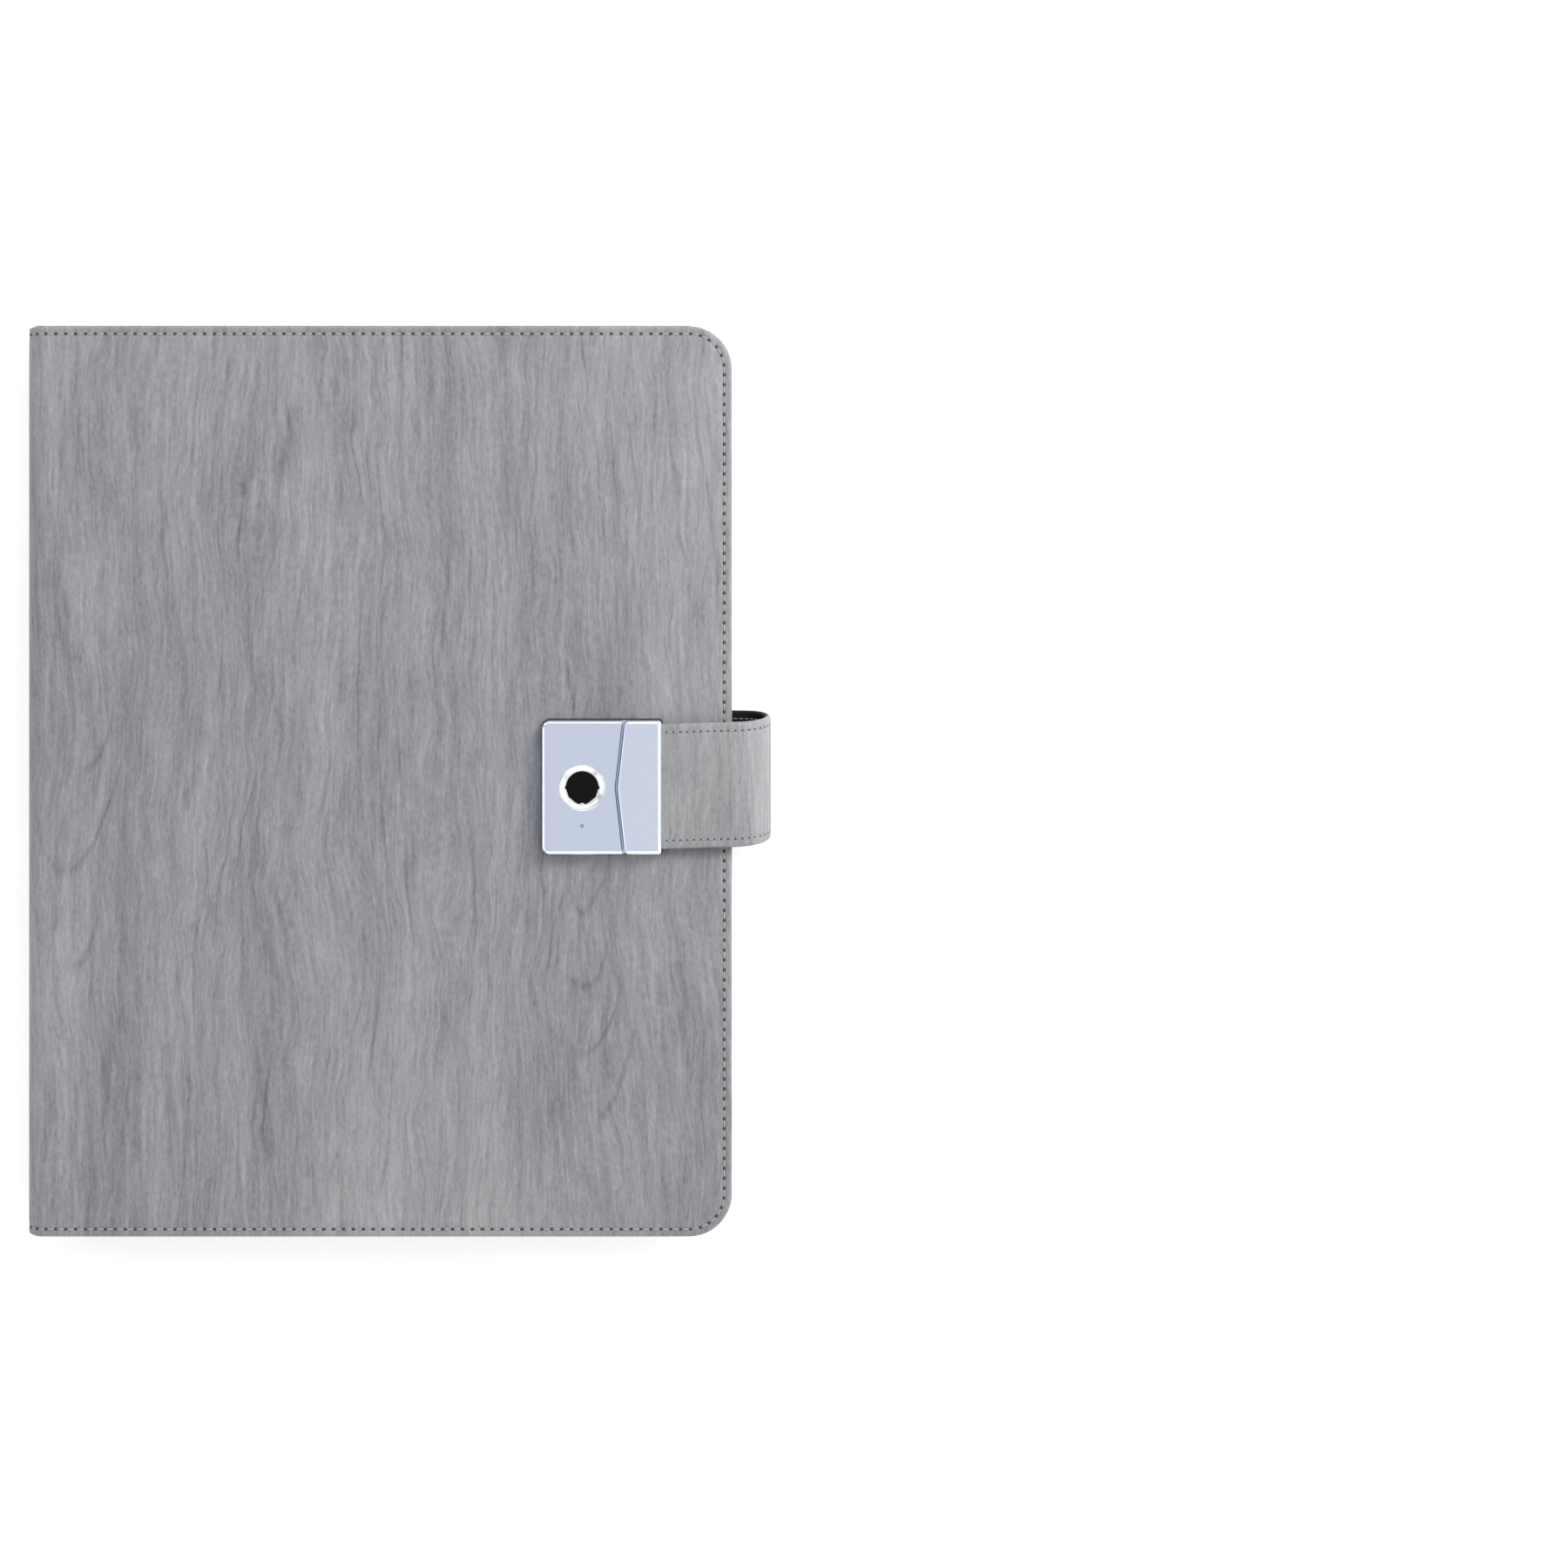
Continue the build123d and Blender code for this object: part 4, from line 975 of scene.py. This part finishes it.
HOUSING_FOOT = 32.2
DISH_R = 8.05
PIPE_R = 0.42
SOCKET_HALF_W, SOCKET_HALF_H, SOCKET_Z, SOCKET_R = 4.52, 1.63, 34.58, 1.2
points, faces, top_loop = plate(HOUSING_CORNERS, HOUSING_RADII, HOUSING_FOOT, HOUSING_TOP,
                                {1: 0.8, 2: 0.8, 3: 0.8})
around = len(top_loop)
socket_wall = CORNER_POINTS - 1
faces = [f for f in faces if not (f[0] < 2 * around and f[0] % around == socket_wall)]
socket_loop = []
run_x, run_z = SOCKET_HALF_W - SOCKET_R, SOCKET_HALF_H - SOCKET_R
for cx, cz, start in ((run_x, run_z, 0), (-run_x, run_z, 90), (-run_x, -run_z, 180),
                      (run_x, -run_z, 270)):
    for k in range(6):
        a = math.radians(start + 18 * k)
        socket_loop.append((SENSOR_X + cx + SOCKET_R * math.cos(a),
                            SOCKET_Z + cz + SOCKET_R * math.sin(a)))
low, high = points[socket_wall:socket_wall + 2], points[2 * around + socket_wall:][:2]
wall = [(low[0][0], HOUSING_FOOT), (low[1][0], HOUSING_FOOT), (high[1][0], high[1][2]),
        (high[0][0], high[0][2])]
wall_points, wall_faces = cap(wall, [socket_loop], 0.0)
wall_points = [(x, LOW_Y, z) for x, z, _ in wall_points]
socket_rings = [(x, y, z) for y in (LOW_Y, LOW_Y + 1.2) for x, z in socket_loop]
top_face = cap(top_loop, [circle(SENSOR_X, LOCK_Y, DISH_R + 0.05),
                          circle(SENSOR_X, LIGHT_Y, PIPE_R, 16)], HOUSING_TOP)
pipe_wall = turned(SENSOR_X, LIGHT_Y, [(PIPE_R, HOUSING_TOP), (PIPE_R - 0.04, HOUSING_TOP - 0.12),
                                       (PIPE_R - 0.04, HOUSING_TOP - 1.0)], 16, flip=True)
shell = join([(points, faces), (wall_points, wall_faces),
              (socket_rings, grid(2, len(socket_loop), closed=True)), top_face, pipe_wall])
housing = make("lock_housing_shell", shell, METAL, body="front_cover")
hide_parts("lock_housing")

dish_profile = [(DISH_R - inset, HOUSING_TOP + rise) for inset, rise in (
    (0.0, -1.0), (0.0, 0.0), (0.08, 0.07), (0.25, 0.08), (0.42, 0.04))]
dish_profile += [(r, HOUSING_TOP - 1.04 * float(smooth_step((7.7 - r) / 1.75)))
                 for r in np.linspace(7.5, 5.95, 14)]
dish_profile.append((4.0, HOUSING_TOP - 1.04))
dish = make("sensor_dish", turned(SENSOR_X, LOCK_Y, dish_profile, 128), BRIGHT,
            body="front_cover")
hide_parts("sensor_bezel")

WINDOW_POINTS = 120
WINDOW_CUTS = (310, 342, 198, 230)
CUT_HALF = 16
# Angle, half width in degrees, and how far the outline moves out there
WINDOW_TIPS = ((0, 3, 0.42), (180, 3, 0.30), (258, 3, 0.14), (282, 3, 0.14), (270, 6, -0.34))


def sensor_outline(radius):
    """The black window: round, four short straight cuts below, tips and a notch at the foot."""
    points = []
    for k in range(WINDOW_POINTS):
        a = k * 360 // WINDOW_POINTS
        r = radius
        for middle in WINDOW_CUTS:
            if abs(a - middle) < CUT_HALF:
                r = radius * math.cos(math.radians(CUT_HALF)) / math.cos(math.radians(a - middle))
        for middle, half, more in WINDOW_TIPS:
            if abs((a - middle + 180) % 360 - 180) < half + 1:
                r = radius + more
        points.append((SENSOR_X + r * math.cos(math.radians(a)),
                       LOCK_Y + r * math.sin(math.radians(a))))
    return points


window, inner_window = sensor_outline(5.78), sensor_outline(5.55)
half_window = [((SENSOR_X + x) / 2, (LOCK_Y + y) / 2) for x, y in inner_window]
SENSOR_TOP = HOUSING_TOP - 0.98
points = []
for loop, rise in ((window, -0.1), (window, 0.0), (inner_window, 0.06), (half_window, 0.05)):
    points += [(x, y, SENSOR_TOP + rise) for x, y in loop]
last, centre = 3 * WINDOW_POINTS, 4 * WINDOW_POINTS
points.append((SENSOR_X, LOCK_Y, SENSOR_TOP + 0.04))
faces = grid(4, WINDOW_POINTS, closed=True)
faces += [(last + k, last + (k + 1) % WINDOW_POINTS, centre) for k in range(WINDOW_POINTS)]
make("sensor_window", (points, faces), GLASS, body="front_cover")

# A dark band just outside the lock's foot: painted shade, standing in for the contact shadow round
# the lock
shadow_band_levels = [(0.6, 30.8), (-0.05, 30.8), (-0.25, 30.75), (-0.4, 30.6), (-0.46, 30.3),
                 (-0.46, 29.6)]
*shadow_band, _ = levels_of(BASE_CORNERS, BASE_RADII, shadow_band_levels, flip=True)
make("lock_shadow_band", shadow_band, SHADOW_BAND_DARK, body="front_cover")

# The latch's return spring: turns lie close at its ends
SPRING_X0, SPRING_X1, SPRING_Z, SPRING_R, SPRING_WIRE = 197.3, 203.5, 30.5, 0.75, 0.15
SPRING_TURNS, SPRING_POINTS = 6.5, 156
turn = np.linspace(0, SPRING_TURNS * 2 * math.pi, SPRING_POINTS)
pace = np.interp(turn / (2 * math.pi), [0, 0.9, 5.6, SPRING_TURNS], [0, 0.06, 0.94, 1])
path = np.column_stack([SPRING_X0 + SPRING_WIRE + pace * (SPRING_X1 - SPRING_X0 - 2 * SPRING_WIRE),
                        LOCK_Y + SPRING_R * np.cos(turn), SPRING_Z + SPRING_R * np.sin(turn)])
outward = np.column_stack([np.zeros(len(turn)), np.cos(turn), np.sin(turn)])
along = np.tile([1.0, 0.0, 0.0], (len(turn), 1))
coil = make("latch_spring_coil", tube(path, along, outward, SPRING_WIRE, SPRING_WIRE, sides=8),
            SCREW, body="front_cover")
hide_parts("latch_spring")
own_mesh(coil)

TONGUE_FOOT, TONGUE_TOP = 33.3, 37.5
tongue_corners = [(LOCK_R, LOW_Y), (LOCK_R, HIGH_Y), (TONGUE_CORNER, HIGH_Y), (TONGUE_MID, LOCK_Y),
                  (TONGUE_CORNER, LOW_Y)]
tongue_radii = [0.9, 0.9, 1.8, 9.0, 1.8]
*rim, top_loop = plate(tongue_corners, tongue_radii, TONGUE_FOOT, TONGUE_TOP,
                       {2: -0.45, 3: -0.45, 4: -0.45})
around, rim_faces = len(top_loop), len(rim[1])
bottom = cap(offset_outline(tongue_corners, tongue_radii, 0.0), [], TONGUE_FOOT, up=False)
tongue = make("tongue_shell", join([rim, cap(top_loop, [], TONGUE_TOP), bottom]), TONGUE_METAL,
              body="strap_tongue")
tongue.data.materials.append(RIM_HIGHLIGHT)
# The bevel gets the brighter copy of the metal, a painted highlight, but not along the vee
vee_start, vee_end = 2 * CORNER_POINTS + 3, 4 * CORNER_POINTS + 3
highlighted = [int(around <= i < rim_faces and not vee_start <= i % around <= vee_end)
            for i in range(len(tongue.data.polygons))]
tongue.data.polygons.foreach_set("material_index", highlighted)
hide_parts("tongue_cover")

for obj in (housing, dish, tongue):
    obj.data.set_sharp_from_angle(angle=0.5)


# Stage, light and camera

def floor():
    mesh = bpy.data.meshes.new("floor")
    mesh.from_pydata([(-3, -3, -0.0002), (3, -3, -0.0002), (3, 3, -0.0002), (-3, 3, -0.0002)],
                     [], [(0, 1, 2, 3)])
    paper = grained("floor_paper", (0.93, 0.93, 0.93), (0.95, 0.95, 0.95), 0.9, 40.0, 0.00001,
                    specular=0.0)
    feed(paper.node_tree, paper.node_tree.nodes["Principled BSDF"],
         {"Emission Color": (1.0, 1.0, 1.0, 1.0), "Emission Strength": 0.45})
    mesh.materials.append(paper)
    placed("floor", mesh)


def area_light(name, place, target, size, power, on_matt=False, on_gloss=True):
    data = bpy.data.lights.new(name, "AREA")
    data.shape = "RECTANGLE"
    data.size, data.size_y = size
    data.energy = power
    obj = placed(name, data)
    obj.location = place
    aim = Vector(target) - Vector(place)
    obj.rotation_euler = aim.to_track_quat("-Z", "Y").to_euler()
    obj.visible_diffuse = on_matt
    obj.visible_glossy = on_gloss


floor()
world = bpy.data.worlds.new("studio")
world.use_nodes = True
sky = world.node_tree
place = add(sky, "ShaderNodeTexCoord", {}).outputs["Generated"]
towards = add(sky, "ShaderNodeSeparateXYZ", {0: place})
shade = ramp(sky, math_node(sky, "MULTIPLY_ADD", towards.outputs[0], 0.5, 0.5),
             [(0.0, (0.52, 0.53, 0.56)), (0.45, (0.92, 0.92, 0.93)), (0.6, (1.0, 1.0, 1.0))])
feed(sky, sky.nodes["Background"], {0: shade, 1: 0.84})
bpy.context.scene.world = world
# The cards show only in glossy surfaces, and the high light falls only on matt ones
area_light("left_card", (-0.95, -0.25, 0.35), (0.0, 0.0, 0.03), (1.0, 0.6), 3.0)
area_light("front_card", (0.1, -0.95, 0.35), (0.0, 0.0, 0.03), (1.2, 0.6), 6.0)
area_light("right_card", (0.95, 0.1, 0.35), (0.0, 0.0, 0.03), (1.0, 0.6), 3.6)
area_light("back_card", (0.1, 0.95, 0.35), (0.0, 0.0, 0.03), (1.2, 0.5), 1.5)
area_light("corner_card", (-0.7, 0.75, 0.17), (0.05, 0.0, 0.03), (0.3, 0.26), 0.8)
area_light("right_high", (0.66, 0.62, 0.9), (0.0, 0.0, 0.02), (0.6, 0.6), 10.4, on_matt=True,
           on_gloss=False)

camera_data = bpy.data.cameras.new("camera")
camera_data.sensor_width = 36.0
camera_data.lens = 36.0 * 900.0 / 553.9
camera_data.shift_x = 0.08
camera_data.shift_y = -0.1005
camera_data.clip_start = 0.05
camera = placed("camera", camera_data)
camera.location = (0.0919, 0.0548, 0.930)
bpy.context.scene.camera = camera
bpy.context.scene.view_settings.view_transform = "Standard"
bpy.context.scene.view_settings.look = "None"
